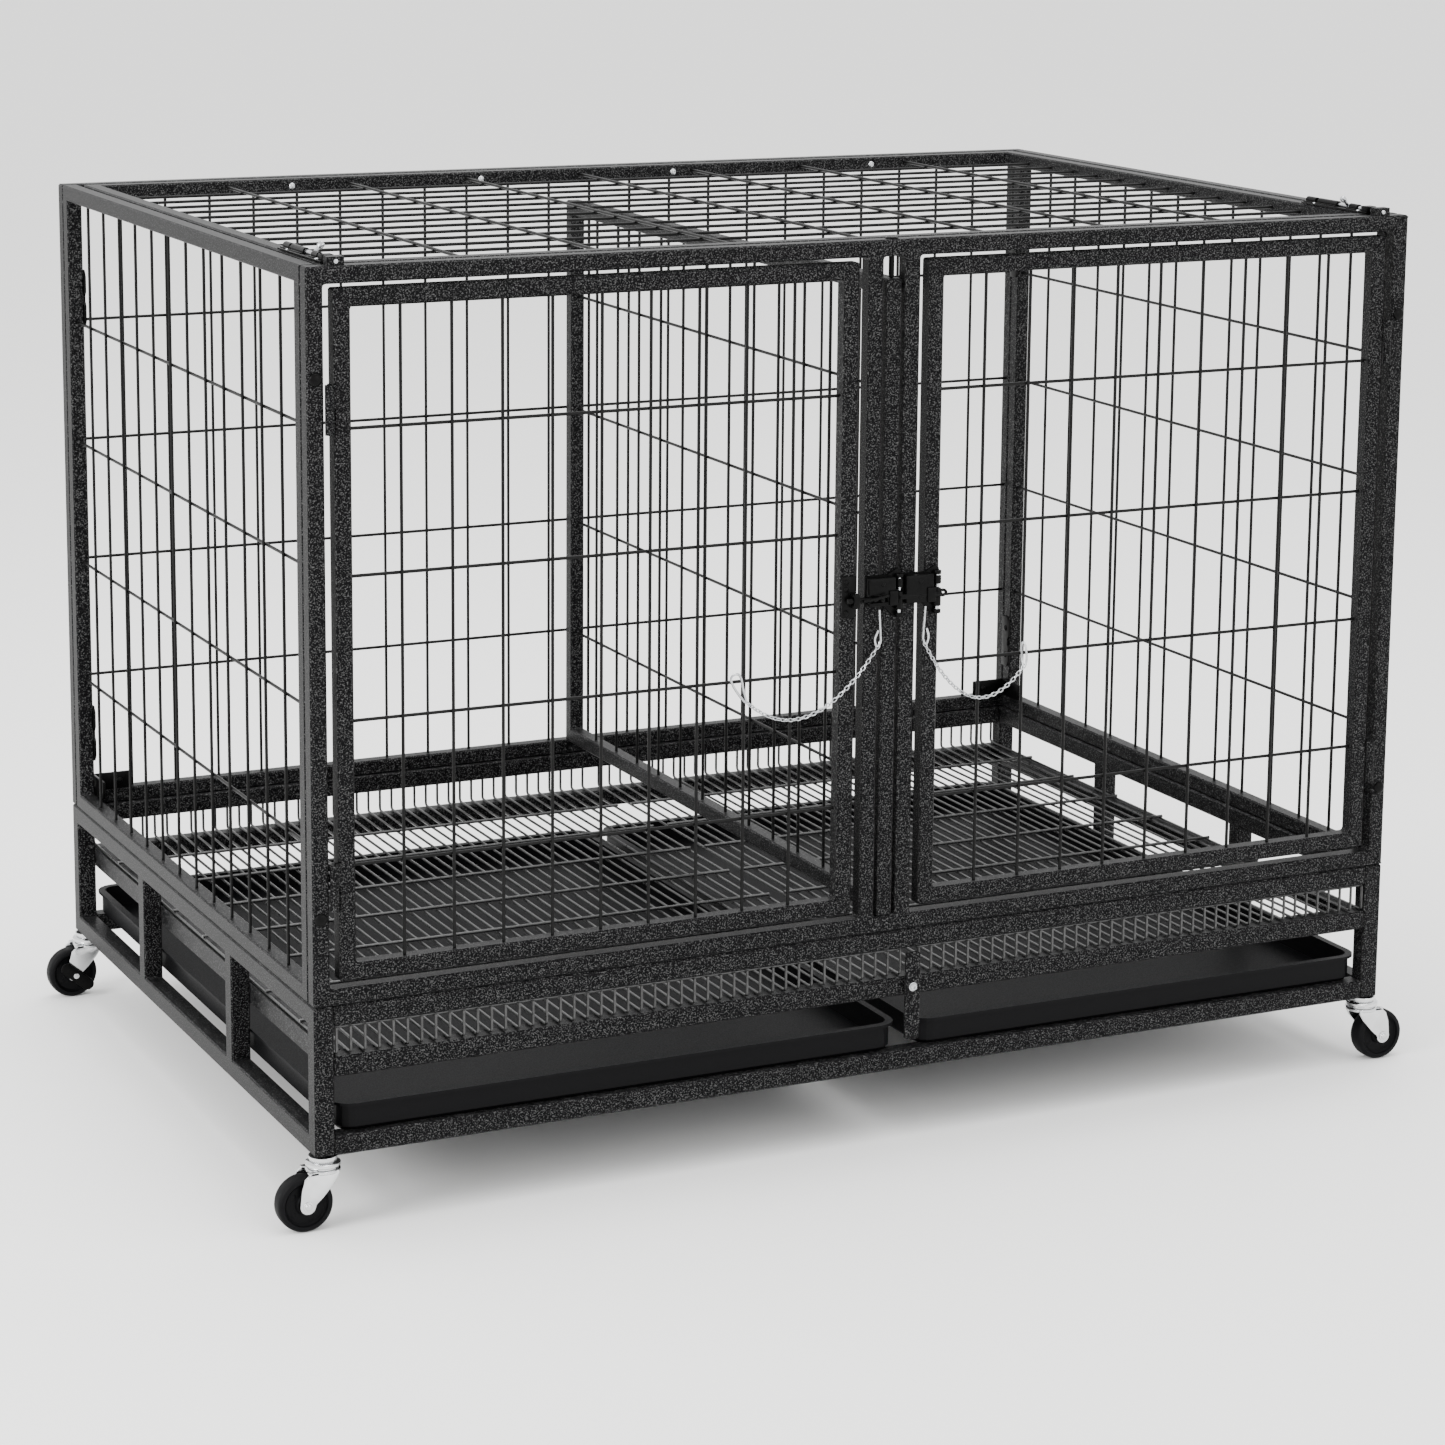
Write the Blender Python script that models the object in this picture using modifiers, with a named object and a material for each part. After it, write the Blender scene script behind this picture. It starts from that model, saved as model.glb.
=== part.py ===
"""Wire dog crate: a square-tube cage of welded wire panels on a low rolling base.

Metres, +Z up, the front towards -Y. The origin is on the floor under the middle of the crate.
Every piece that moves has its origin on its joint's axis.
"""

from math import cos, pi, radians, sin

import bmesh
import bpy
from mathutils import Matrix, Vector

CLEAR = 0.0003  # between separate pieces
SEAM = 0.0008  # between bolted panels

# Outline
HALF_LENGTH = 0.550
FRONT = -0.363
BACK = 0.372
TOP = 0.836
EDGE_ROUND = 0.0015

# Base
BASE_TUBE = 0.018
BASE_BOTTOM = 0.066
MIDDLE_RAIL = 0.137
TOP_RAIL = 0.182
BASE_TOP = 0.200
STRUTS = (0.234, 0.501)  # distances of the side struts from the front
LEDGE = 0.012
LEDGE_WALL = 0.0025

# Trays and grates
SPLIT = 0.028  # where the left and right halves meet
SPLIT_GAP = 0.0165
TRAY_HEIGHT = 0.0257
TRAY_WALL = 0.003
TRAY_LIP = 0.004
TRAY_CORNER = 0.016
GRATE_BARS = 8
GRATE_CROSS_BARS = 2

# Turn-button strap
STRAP_WIDTH = 0.015
STRAP_LOW = 0.0955
STRAP_HIGH = 0.179
STRAP_PIVOT = 0.146

# Casters
CASTER_INSET = 0.010
WHEEL_RADIUS = 0.025
WHEEL_HALF = 0.009
TRAIL = 0.018
SWIVEL_RADIUS = 0.0155
LEG_OFFSET = 0.0118
LEG_THICK = 0.0024
AXLE = 0.003

# Cage
TUBE = 0.015
WIRE = 0.003
WIRE_LAP = 0.0005
CAGE_BOTTOM = BASE_TOP + CLEAR
SLOT_HALF = 0.011
DIVIDER_TOP = 0.801
DIVIDER_BOLT = 0.0025
SIDE_WIRES = 12
BACK_WIRES = 22
LEVELS = (0.336, 0.457, 0.579, 0.700)

# Roof
ROOF_GAP = 0.005
ROOF_WIRES = 13
ROOF_RIBS = 7
ROOF_PIN = 0.0022
ROOF_BORE = 0.0026
ROOF_BOLT_Z = 0.8395
ROOF_ROD = 0.0021
ROOF_ROD_BORE = 0.0025

# Doors
DOOR_GAP = 0.009
DOOR_GAP_TOP = 0.004
DOOR_GAP_BOTTOM = 0.006
DOOR_WIRES = 9
DOOR_LEVELS = (0.321, 0.447, 0.572, 0.698)
HINGE_BARREL = 0.004
HINGE_PIN = 0.0019
HINGE_BORE = 0.0023
HINGES = (0.2845, 0.695)  # lower ends of the door hinges
KNUCKLE = 0.021

# Latches
LATCH_Z = 0.514
LATCH_ROD = 0.0028
LATCH_BORE = 0.0032

# Colour, roughness, metallic
HAMMERTONE = ((0.045, 0.045, 0.048), 0.42, 0.5)
BLACK_WIRE = ((0.012, 0.012, 0.013), 0.45, 0.3)
BLACK_PLASTIC = ((0.020, 0.020, 0.022), 0.50, 0.0)
BLACK_PAINT = ((0.010, 0.010, 0.010), 0.40, 0.2)
CHROME = ((0.62, 0.62, 0.64), 0.18, 1.0)
ZINC = ((0.55, 0.56, 0.58), 0.32, 1.0)
RUBBER = ((0.018, 0.018, 0.018), 0.60, 0.0)


def clear_scene():
    for obj in list(bpy.data.objects):
        bpy.data.objects.remove(obj)


def new_collection(name):
    collection = bpy.data.collections.new(name)
    bpy.context.scene.collection.children.link(collection)
    return collection


clear_scene()
PARTS = new_collection("wire_dog_crate")
CUTTERS = new_collection("cutters")


# Meshes


def box(low, high):
    """A box between two opposite corners, given in any order."""

    def add(bm):
        low_corner = Vector(map(min, low, high))
        high_corner = Vector(map(max, low, high))
        size = high_corner - low_corner
        middle = (high_corner + low_corner) / 2
        place = Matrix.Translation(middle) @ Matrix.Diagonal((*size, 1))
        bmesh.ops.create_cube(bm, size=1, matrix=place)

    return add


def rod(start, end, radius, sides=12):
    """A solid cylinder from one point to another."""

    def add(bm):
        along = Vector(end) - Vector(start)
        middle = (Vector(end) + Vector(start)) / 2
        turn = along.to_track_quat("Z", "Y").to_matrix().to_4x4()
        place = Matrix.Translation(middle) @ turn
        bmesh.ops.create_cone(
            bm, cap_ends=True, segments=sides, radius1=radius, radius2=radius, depth=along.length, matrix=place
        )

    return add


def mesh_of(name, bm):
    mesh = bpy.data.meshes.new(name)
    bm.to_mesh(mesh)
    bm.free()
    return mesh


def shapes_mesh(name, shapes):
    bm = bmesh.new()
    for add in shapes:
        add(bm)
    return mesh_of(name, bm)


# Objects


def own_material(name, look):
    colour, roughness, metallic = look
    material = bpy.data.materials.new(name)
    material.use_nodes = True
    shader = material.node_tree.nodes["Principled BSDF"]
    shader.inputs["Base Color"].default_value = (*colour, 1)
    shader.inputs["Roughness"].default_value = roughness
    shader.inputs["Metallic"].default_value = metallic
    material.diffuse_color = (*colour, 1)
    return material


def smooth(mesh):
    for face in mesh.polygons:
        face.use_smooth = True


def part(name, mesh, look, origin=(0, 0, 0), round_piece=False):
    """A piece of the crate, with its origin moved to a point on its joint's axis."""
    mesh.transform(Matrix.Translation(-Vector(origin)))
    mesh.materials.append(own_material(name, look))
    if round_piece:
        smooth(mesh)
    obj = bpy.data.objects.new(name, mesh)
    obj.location = origin
    PARTS.objects.link(obj)
    return obj


def helper(name, shapes):
    """A solid that only shapes another piece."""
    obj = bpy.data.objects.new(name, shapes_mesh(name, shapes))
    return as_helper(obj)


def as_helper(obj):
    obj.hide_render = True
    obj.display_type = "WIRE"
    CUTTERS.objects.link(obj)
    return obj


def boolean(obj, other, operation):
    modifier = obj.modifiers.new(other.name, "BOOLEAN")
    modifier.operation = operation
    modifier.solver = "EXACT"
    modifier.object = other


def fuse(obj, name, *shapes):
    boolean(obj, helper(obj.name + "_" + name, shapes), "UNION")


def cut(obj, name, *shapes):
    boolean(obj, helper(obj.name + "_" + name, shapes), "DIFFERENCE")


def round_edges(obj, width=EDGE_ROUND):
    modifier = obj.modifiers.new("rounded edges", "BEVEL")
    modifier.limit_method = "ANGLE"
    modifier.angle_limit = radians(40)
    modifier.width = width
    modifier.segments = 1


def thicken(obj, thickness):
    modifier = obj.modifiers.new("thickness", "SOLIDIFY")
    modifier.thickness = thickness
    modifier.offset = 0


# Flat frames and wire grilles

PLANES = {
    "xz": lambda u, v, at: (u, at, v),
    "yz": lambda u, v, at: (at, u, v),
    "xy": lambda u, v, at: (u, v, at),
}


def cells_mesh(name, plane, at, us, vs, holes):
    """The cells of a flat grid, less its holes."""
    place = PLANES[plane]
    bm = bmesh.new()
    points = [[bm.verts.new(place(u, v, at)) for v in vs] for u in us]
    for i in range(len(us) - 1):
        for j in range(len(vs) - 1):
            if (i, j) not in holes:
                bm.faces.new((points[i][j], points[i + 1][j], points[i + 1][j + 1], points[i][j + 1]))
    loose = [vert for vert in bm.verts if not vert.link_faces]
    bmesh.ops.delete(bm, geom=loose, context="VERTS")
    return mesh_of(name, bm)


def windowed(name, plane, at, us, vs, holes, thickness, origin=(0, 0, 0)):
    """A frame of square tube: a flat grid with windows, thickened, with rounded edges."""
    obj = part(name, cells_mesh(name, plane, at, us, vs, holes), HAMMERTONE, origin)
    thicken(obj, thickness)
    round_edges(obj)
    return obj


def tube_frame(name, plane, at, u_ends, v_ends, origin=(0, 0, 0)):
    """A frame of the cage's tube around one window."""
    us = (u_ends[0], u_ends[0] + TUBE, u_ends[1] - TUBE, u_ends[1])
    vs = (v_ends[0], v_ends[0] + TUBE, v_ends[1] - TUBE, v_ends[1])
    return windowed(name, plane, at, us, vs, {(1, 1)}, TUBE, origin)


def spread(low, high, count):
    """Evenly spaced positions with a full gap at both ends."""
    step = (high - low) / (count + 1)
    return [low + step * (i + 1) for i in range(count)]


def bars(plane, at, positions, ends, along_v):
    """Square wires lying in a plane, across it at the given positions."""
    place = PLANES[plane]
    shapes = []
    for middle in positions:
        low, high = middle - WIRE / 2, middle + WIRE / 2
        if along_v:
            corners = place(low, ends[0], at), place(high, ends[1], at + WIRE)
        else:
            corners = place(ends[0], low, at), place(ends[1], high, at + WIRE)
        shapes.append(box(*corners))
    return shapes


def grille(name, plane, at, us, vs, u_ends, v_ends, origin=(0, 0, 0), flip=False):
    """Wires along v, with wires along u welded across them: in front, or behind if flipped."""
    u_gap = (u_ends[0] + TUBE + CLEAR, u_ends[1] - TUBE - CLEAR)
    v_gap = (v_ends[0] + TUBE + CLEAR, v_ends[1] - TUBE - CLEAR)
    step = WIRE - WIRE_LAP
    lower = at - WIRE + WIRE_LAP / 2
    levels = (lower + step, lower) if flip else (lower, lower + step)
    uprights = shapes_mesh(name, bars(plane, levels[0], us, v_gap, True))
    obj = part(name, uprights, BLACK_WIRE, origin)
    fuse(obj, "crosswires", *bars(plane, levels[1], vs, u_gap, False))
    return obj


# Base


def base_end(side):
    name = "base_left_end" if side < 0 else "base_right_end"
    us = [FRONT, FRONT + BASE_TUBE]
    for strut in STRUTS:
        us += [FRONT + strut - BASE_TUBE / 2, FRONT + strut + BASE_TUBE / 2]
    us += [BACK - BASE_TUBE, BACK]
    vs = (BASE_BOTTOM, BASE_BOTTOM + BASE_TUBE, TOP_RAIL, BASE_TOP)
    at = side * (HALF_LENGTH - BASE_TUBE / 2)
    end = windowed(name, "yz", at, us, vs, {(1, 1), (3, 1), (5, 1)}, BASE_TUBE)
    inner = HALF_LENGTH - BASE_TUBE
    xs = sorted(side * x for x in (inner + WIRE_LAP, inner - LEDGE_WALL, inner - LEDGE))
    zs = (MIDDLE_RAIL, MIDDLE_RAIL + BASE_TUBE - LEDGE_WALL, MIDDLE_RAIL + BASE_TUBE)
    open_corner = (1, 0) if side < 0 else (0, 0)
    angle_name = name + "_angle"
    profile = cells_mesh(angle_name, "xz", (FRONT + BACK) / 2, xs, zs, {open_corner})
    angle = as_helper(bpy.data.objects.new(angle_name, profile))
    thicken(angle, BACK - FRONT - 2 * BASE_TUBE - 2 * CLEAR)
    boolean(end, angle, "UNION")


def base_rail(name, front_y, low):
    reach = HALF_LENGTH - BASE_TUBE - CLEAR
    shape = box((-reach, front_y, low), (reach, front_y + BASE_TUBE, low + BASE_TUBE))
    rail = part(name, shapes_mesh(name, [shape]), HAMMERTONE)
    round_edges(rail)


def base():
    for side in (-1, 1):
        base_end(side)
    for where, y in (("front", FRONT), ("back", BACK - BASE_TUBE)):
        for level, z in (("bottom", BASE_BOTTOM), ("middle", MIDDLE_RAIL), ("top", TOP_RAIL)):
            base_rail(f"base_{where}_{level}_rail", y, z)


def half_span(side, margin):
    """The x range of the left or right tray or grate."""
    outer = side * (HALF_LENGTH - BASE_TUBE - margin)
    inner = SPLIT + side * SPLIT_GAP / 2
    return min(outer, inner), max(outer, inner)


def rounded_slab(name, x_ends, y_ends, z_ends, corner, foot=0):
    """A slab with rounded upright corners and a chamfered lower edge."""
    bm = bmesh.new()
    box((x_ends[0], y_ends[0], z_ends[0]), (x_ends[1], y_ends[1], z_ends[1]))(bm)
    upright = [e for e in bm.edges if abs(e.verts[0].co.z - e.verts[1].co.z) > 0.001]
    bmesh.ops.bevel(bm, geom=upright, offset=corner, segments=4, profile=0.5, affect="EDGES")
    if foot:
        low = [e for e in bm.edges if all(abs(v.co.z - z_ends[0]) < 1e-6 for v in e.verts)]
        bmesh.ops.bevel(bm, geom=low, offset=foot, segments=1, affect="EDGES")
    return mesh_of(name, bm)


def tray(side):
    name = ("left" if side < 0 else "right") + "_tray"
    x_low, x_high = half_span(side, 0.0015)
    y_low, y_high = FRONT + 0.002, BACK - 0.002
    bottom = BASE_BOTTOM + BASE_TUBE + CLEAR
    top = bottom + TRAY_HEIGHT
    lip = TRAY_LIP
    body_x = (x_low + lip, x_high - lip)
    body_y = (y_low + lip, y_high - lip)
    body = rounded_slab(name, body_x, body_y, (bottom, top), TRAY_CORNER, foot=0.0035)
    obj = part(name, body, BLACK_PLASTIC, (SPLIT, y_low, bottom))
    rim = rounded_slab(name + "_rim", (x_low, x_high), (y_low, y_high), (top - 0.0025, top), TRAY_CORNER + lip)
    boolean(obj, as_helper(bpy.data.objects.new(name + "_rim", rim)), "UNION")
    inside_x = (body_x[0] + TRAY_WALL, body_x[1] - TRAY_WALL)
    inside_y = (body_y[0] + TRAY_WALL, body_y[1] - TRAY_WALL)
    inside_z = (bottom + TRAY_WALL, top + 0.01)
    hollow = rounded_slab(name + "_hollow", inside_x, inside_y, inside_z, TRAY_CORNER - TRAY_WALL)
    boolean(obj, as_helper(bpy.data.objects.new(name + "_hollow", hollow)), "DIFFERENCE")


def grate(side):
    """Long wires turned up at both ends, crosswires on top, and a wire along each fence."""
    name = ("left" if side < 0 else "right") + "_grate"
    x_low, x_high = half_span(side, 0.0015)
    bottom = MIDDLE_RAIL + BASE_TUBE + CLEAR
    top = TOP_RAIL - CLEAR
    ys = (FRONT + 0.001, FRONT + 0.001 + WIRE, BACK - 0.001 - WIRE, BACK - 0.001)
    bm = bmesh.new()
    step = (x_high - x_low - WIRE) / (GRATE_BARS - 1)
    for i in range(GRATE_BARS):
        x = x_low + i * step
        box((x, ys[0], bottom), (x + WIRE, ys[3], bottom + WIRE))(bm)
    obj = part(name, mesh_of(name, bm), BLACK_WIRE, (SPLIT, ys[0], bottom))
    lap = WIRE_LAP
    ends = []
    for i in range(GRATE_BARS):
        x = x_low + i * step
        ends.append(box((x + 0.0002, ys[0] + 0.0002, bottom + lap), (x + WIRE - 0.0002, ys[1], top - lap)))
        ends.append(box((x + 0.0002, ys[2], bottom + lap), (x + WIRE - 0.0002, ys[3] - 0.0002, top - lap)))
    fuse(obj, "turned_ends", *ends)
    cross_z = bottom + WIRE - lap
    cross = [
        box((x_low, y - WIRE / 2, cross_z), (x_high, y + WIRE / 2, cross_z + WIRE))
        for y in spread(ys[1], ys[2], GRATE_CROSS_BARS)
    ]
    fence_y = (ys[1] - lap, ys[2] + lap - WIRE)
    cross += [box((x_low, y, top - WIRE), (x_high, y + WIRE, top)) for y in fence_y]
    fuse(obj, "crosswires", *cross)


def strap():
    pivot = (SPLIT, FRONT, STRAP_PIVOT)
    half = STRAP_WIDTH / 2
    low = (SPLIT - half, FRONT - 0.0055, STRAP_LOW)
    high = (SPLIT + half, FRONT - 0.0025, STRAP_HIGH)
    bar = part("tray_strap", shapes_mesh("tray_strap", [box(low, high)]), HAMMERTONE, pivot)
    round_edges(bar, 0.0006)
    hole = rod((SPLIT, FRONT - 0.01, STRAP_PIVOT), (SPLIT, FRONT, STRAP_PIVOT), 0.0031, 16)
    cut(bar, "hole", hole)
    shank = rod((SPLIT, FRONT - CLEAR, STRAP_PIVOT), (SPLIT, FRONT - 0.0075, STRAP_PIVOT), 0.0027)
    bolt = part("strap_bolt", shapes_mesh("strap_bolt", [shank]), ZINC, pivot, round_piece=True)
    head = rod((SPLIT, FRONT - 0.0060, STRAP_PIVOT), (SPLIT, FRONT - 0.0090, STRAP_PIVOT), 0.0052, 16)
    washer = rod((SPLIT, FRONT - CLEAR, STRAP_PIVOT), (SPLIT, FRONT - 0.0022, STRAP_PIVOT), 0.0060, 16)
    fuse(bolt, "head_and_washer", head, washer)


# Casters


def lathe(obj, steps):
    modifier = obj.modifiers.new("turned", "SCREW")
    modifier.axis = "Z"
    modifier.steps = steps
    modifier.render_steps = steps
    modifier.use_merge_vertices = True
    modifier.merge_threshold = 0.00005
    modifier.use_smooth_shade = True


def profile_mesh(name, points, closed):
    """A line of points in the XZ plane, for turning about Z."""
    count = len(points)
    edges = [(i, (i + 1) % count) for i in range(count if closed else count - 1)]
    mesh = bpy.data.meshes.new(name)
    mesh.from_pydata([(r, 0, z) for r, z in points], edges, [])
    return mesh


def turned(name, points, closed, look, origin, steps):
    obj = part(name, profile_mesh(name, points, closed), look)
    obj.location = origin
    lathe(obj, steps)
    return obj


def caster_stem(name, x, y):
    drop = BASE_BOTTOM - CLEAR
    points = (
        (0, 0),
        (0.0125, 0),
        (0.0125, -0.0042),
        (SWIVEL_RADIUS, -0.0055),
        (SWIVEL_RADIUS, -0.0082),
        (0.0140, -0.0092),
        (0, -0.0092),
    )
    turned(name + "_stem", points, False, CHROME, (x, y, drop), 16)


def leg_outline(direction):
    """The outline of a fork leg about the stem: wide at the swivel, round at the axle."""
    points = [(-0.010, 0.0545), (-0.0085, 0.046)]
    for i in range(6):
        angle = radians(190 + 32 * i)
        points.append((TRAIL + 0.0072 * cos(angle), WHEEL_RADIUS + 0.0072 * sin(angle)))
    points += [(0.0200, 0.046), (0.0130, 0.0545)]
    return [(direction * x, z) for x, z in points]


def outline_mesh(name, outline, ys, x):
    """Flat outlines in the XZ plane at several y positions."""
    bm = bmesh.new()
    for y in ys:
        bm.faces.new([bm.verts.new((x + u, y, z)) for u, z in outline])
    bmesh.ops.recalc_face_normals(bm, faces=bm.faces)
    return mesh_of(name, bm)


def caster_fork(name, x, y, direction, braked):
    head = rod((x, y, 0.0515), (x, y, 0.0562), SWIVEL_RADIUS, 16)
    fork = part(name + "_fork", shapes_mesh(name, [head]), CHROME, (x, y, 0.0515), round_piece=True)
    leg_name = name + "_legs"
    flat = outline_mesh(leg_name, leg_outline(direction), (y - LEG_OFFSET, y + LEG_OFFSET), x)
    legs = as_helper(bpy.data.objects.new(leg_name, flat))
    thicken(legs, LEG_THICK)
    boolean(fork, legs, "UNION")
    axle_x = x + direction * TRAIL
    near = y - (0.0190 if braked else 0.0148)
    fuse(fork, "axle", rod((axle_x, near, WHEEL_RADIUS), (axle_x, y + 0.0148, WHEEL_RADIUS), AXLE, 10))


def caster_wheel(name, x, y):
    half = ((AXLE + 0.0004, WHEEL_HALF), (0.008, WHEEL_HALF), (0.010, 0.0065), (0.0190, 0.0065), (0.0205, 0.0088))
    points = list(half) + [(WHEEL_RADIUS, 0.006), (WHEEL_RADIUS, -0.006)] + [(r, -z) for r, z in reversed(half)]
    wheel = turned(name + "_wheel", points, True, RUBBER, (x, y, WHEEL_RADIUS), 16)
    wheel.rotation_euler = (pi / 2, 0, 0)


def brake_lever(name, x, y, direction):
    """A side lever on the end of the axle."""
    slope = radians(-40)
    outline = []
    for middle, start in ((-0.012, 90), (0.016, -90)):
        for i in range(5):
            angle = radians(start + 45 * i)
            outline.append((middle + 0.0062 * cos(angle), 0.0062 * sin(angle)))
    turned_points = [(u * cos(slope) - v * sin(slope), u * sin(slope) + v * cos(slope)) for u, v in outline]
    flat = [(-direction * u, WHEEL_RADIUS + v) for u, v in turned_points]
    mesh = outline_mesh(name, flat, (y - 0.0168,), x)
    lever = part(name, mesh, BLACK_PAINT, (x, y, WHEEL_RADIUS))
    thicken(lever, 0.0024)
    bore = rod((x, y - 0.03, WHEEL_RADIUS), (x, y, WHEEL_RADIUS), AXLE + 0.0004, 12)
    cut(lever, "bore", bore)


def casters():
    for side_name, side in (("left", -1), ("right", 1)):
        for end_name, y in (("front", FRONT + CASTER_INSET), ("back", BACK - CASTER_INSET)):
            name = f"{end_name}_{side_name}_caster"
            x = side * (HALF_LENGTH - CASTER_INSET)
            caster_stem(name, x, y)
            caster_fork(name, x, y, side, end_name == "back")
            caster_wheel(name, x + side * TRAIL, y)
    for side_name, side in (("left", -1), ("right", 1)):
        x = side * (HALF_LENGTH - CASTER_INSET + TRAIL)
        brake_lever(f"{side_name}_brake_lever", x, BACK - CASTER_INSET, side)


# Cage


def front_frame():
    latch_post = SLOT_HALF + TUBE
    half = (SLOT_HALF, latch_post, HALF_LENGTH - TUBE, HALF_LENGTH)
    us = [-x for x in reversed(half)] + list(half)
    vs = (CAGE_BOTTOM, CAGE_BOTTOM + TUBE, TOP - TUBE, TOP)
    frame = windowed("front_frame", "xz", FRONT + TUBE / 2, us, vs, {(1, 1), (3, 1), (5, 1)}, TUBE)
    y = FRONT + TUBE / 2
    keepers = []
    bores = []
    for side in (-1, 1):
        x = side * roof_bolt_x()
        keepers.append(box((x - 0.0075, y - 0.0045, TOP - 0.001), (x + 0.0075, y + 0.0055, ROOF_BOLT_Z + 0.0038)))
        bores.append(rod((x, y - 0.01, ROOF_BOLT_Z), (x, y + 0.01, ROOF_BOLT_Z), ROOF_ROD_BORE))
    fuse(frame, "keepers", *keepers)
    cut(frame, "keeper_bores", *bores)
    cut(frame, "divider_hole", rod((0, y, TOP - 0.02), (0, y, TOP + 0.01), DIVIDER_BOLT + 0.0004))


def side_panel(side):
    name = "left_panel" if side < 0 else "right_panel"
    at = side * (HALF_LENGTH - TUBE / 2)
    y_ends = (FRONT + TUBE + SEAM, BACK - TUBE - SEAM)
    z_ends = (CAGE_BOTTOM, TOP)
    frame = tube_frame(name + "_frame", "yz", at, y_ends, z_ends)
    x, y, z = HALF_LENGTH - TUBE, roof_pivot_y(), TOP - TUBE / 2
    pin = rod((side * (x + 0.002), y, z), (side * (x - ROOF_GAP - 0.007), y, z), ROOF_PIN)
    fuse(frame, "roof_pin", pin)
    ys = spread(y_ends[0] + TUBE, y_ends[1] - TUBE, SIDE_WIRES)
    grille(name + "_mesh", "yz", at, ys, LEVELS, y_ends, z_ends, flip=side > 0)


def back_panel():
    x_ends = (-HALF_LENGTH, HALF_LENGTH)
    z_ends = (CAGE_BOTTOM, TOP)
    at = BACK - TUBE / 2
    tube_frame("back_frame", "xz", at, x_ends, z_ends)
    xs = spread(-HALF_LENGTH + TUBE, HALF_LENGTH - TUBE, BACK_WIRES)
    grille("back_mesh", "xz", at, xs, LEVELS, x_ends, z_ends, flip=True)


def divider():
    y_ends = (FRONT, BACK - TUBE - SEAM)
    z_ends = (CAGE_BOTTOM + TUBE + 0.0004, DIVIDER_TOP)
    origin = (0, FRONT, z_ends[0])
    tube_frame("divider_frame", "yz", 0, y_ends, z_ends, origin)
    ys = spread(y_ends[0] + TUBE, y_ends[1] - TUBE, SIDE_WIRES)
    grille("divider_mesh", "yz", 0, ys, LEVELS, y_ends, z_ends, origin)
    y = FRONT + TUBE / 2
    shank = rod((0, y, DIVIDER_TOP + CLEAR), (0, y, TOP + 0.001), DIVIDER_BOLT)
    bolt = part("divider_bolt", shapes_mesh("divider_bolt", [shank]), BLACK_PAINT, origin, round_piece=True)
    washer = rod((0, y, TOP + CLEAR), (0, y, TOP + 0.0014), 0.0060, 16)
    fuse(bolt, "head_and_washer", washer, rod((0, y, TOP + 0.0010), (0, y, TOP + 0.0062), 0.0046, 16))


# Roof


def roof_bolt_x():
    return HALF_LENGTH - TUBE - ROOF_GAP - TUBE / 2


def roof_ends():
    return FRONT + TUBE + ROOF_GAP, BACK - TUBE - ROOF_GAP


def roof_pivot_y():
    """The roof turns about the middle of its back tube."""
    return roof_ends()[1] - TUBE / 2


def roof():
    half = HALF_LENGTH - TUBE - ROOF_GAP
    x_ends, y_ends = (-half, half), roof_ends()
    y, z = roof_pivot_y(), TOP - TUBE / 2
    origin = (0, y, z)
    frame = tube_frame("roof_frame", "xy", z, x_ends, y_ends, origin)
    bores = [rod((side * (half + 0.002), y, z), (side * (half - 0.0075), y, z), ROOF_BORE) for side in (-1, 1)]
    cut(frame, "pin_bores", *bores)
    ribs = spread(x_ends[0] + TUBE, x_ends[1] - TUBE, ROOF_RIBS)
    wires = spread(y_ends[0] + TUBE, y_ends[1] - TUBE, ROOF_WIRES)
    grille("roof_mesh", "xy", TOP - TUBE / 2, ribs, wires, x_ends, y_ends, origin, flip=True)


def roof_bolt(side):
    """A long barrel bolt on the roof's side tube. Its knob leans inwards, and it slides along Y."""
    name = "left_roof_bolt" if side < 0 else "right_roof_bolt"
    x = side * roof_bolt_x()
    z = ROOF_BOLT_Z
    hinge = (0, roof_pivot_y(), TOP - TUBE / 2)
    base_plate = box((x - 0.0075, -0.3425, TOP + CLEAR), (x + 0.0075, -0.235, TOP + 0.0018))
    housing = part(name + "_housing", shapes_mesh(name, [base_plate]), BLACK_PAINT, hinge)
    guides = [
        box((x - 0.0055, y_low, TOP + 0.0010), (x + 0.0055, y_high, z + 0.0034))
        for y_low, y_high in ((-0.3420, -0.3310), (-0.3220, -0.2360))
    ]
    fuse(housing, "guides", *guides)
    cut(housing, "bore", rod((x, -0.35, z), (x, -0.240, z), ROOF_ROD_BORE))
    cut(housing, "slot", box((x + side * 0.0022, -0.3072, z), (x - side * 0.010, -0.2887, z + 0.01)))
    shank = rod((x, -0.3612, z), (x, -0.2600, z), ROOF_ROD)
    bolt = part(name, shapes_mesh(name, [shank]), ZINC, (x, -0.2600, z), round_piece=True)
    knob_y = -0.3045

    def leaning(reach):
        return (x - side * 0.7 * reach, knob_y, z + 0.0006 + 0.7 * reach)

    fuse(bolt, "knob_stem", rod(leaning(0.0005), leaning(0.0100), 0.0016))
    fuse(bolt, "knob", rod(leaning(0.0075), leaning(0.0120), 0.0028))


# Doors


def door_hinge(side):
    return side * (HALF_LENGTH - TUBE - DOOR_GAP / 2), FRONT - 0.001


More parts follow.
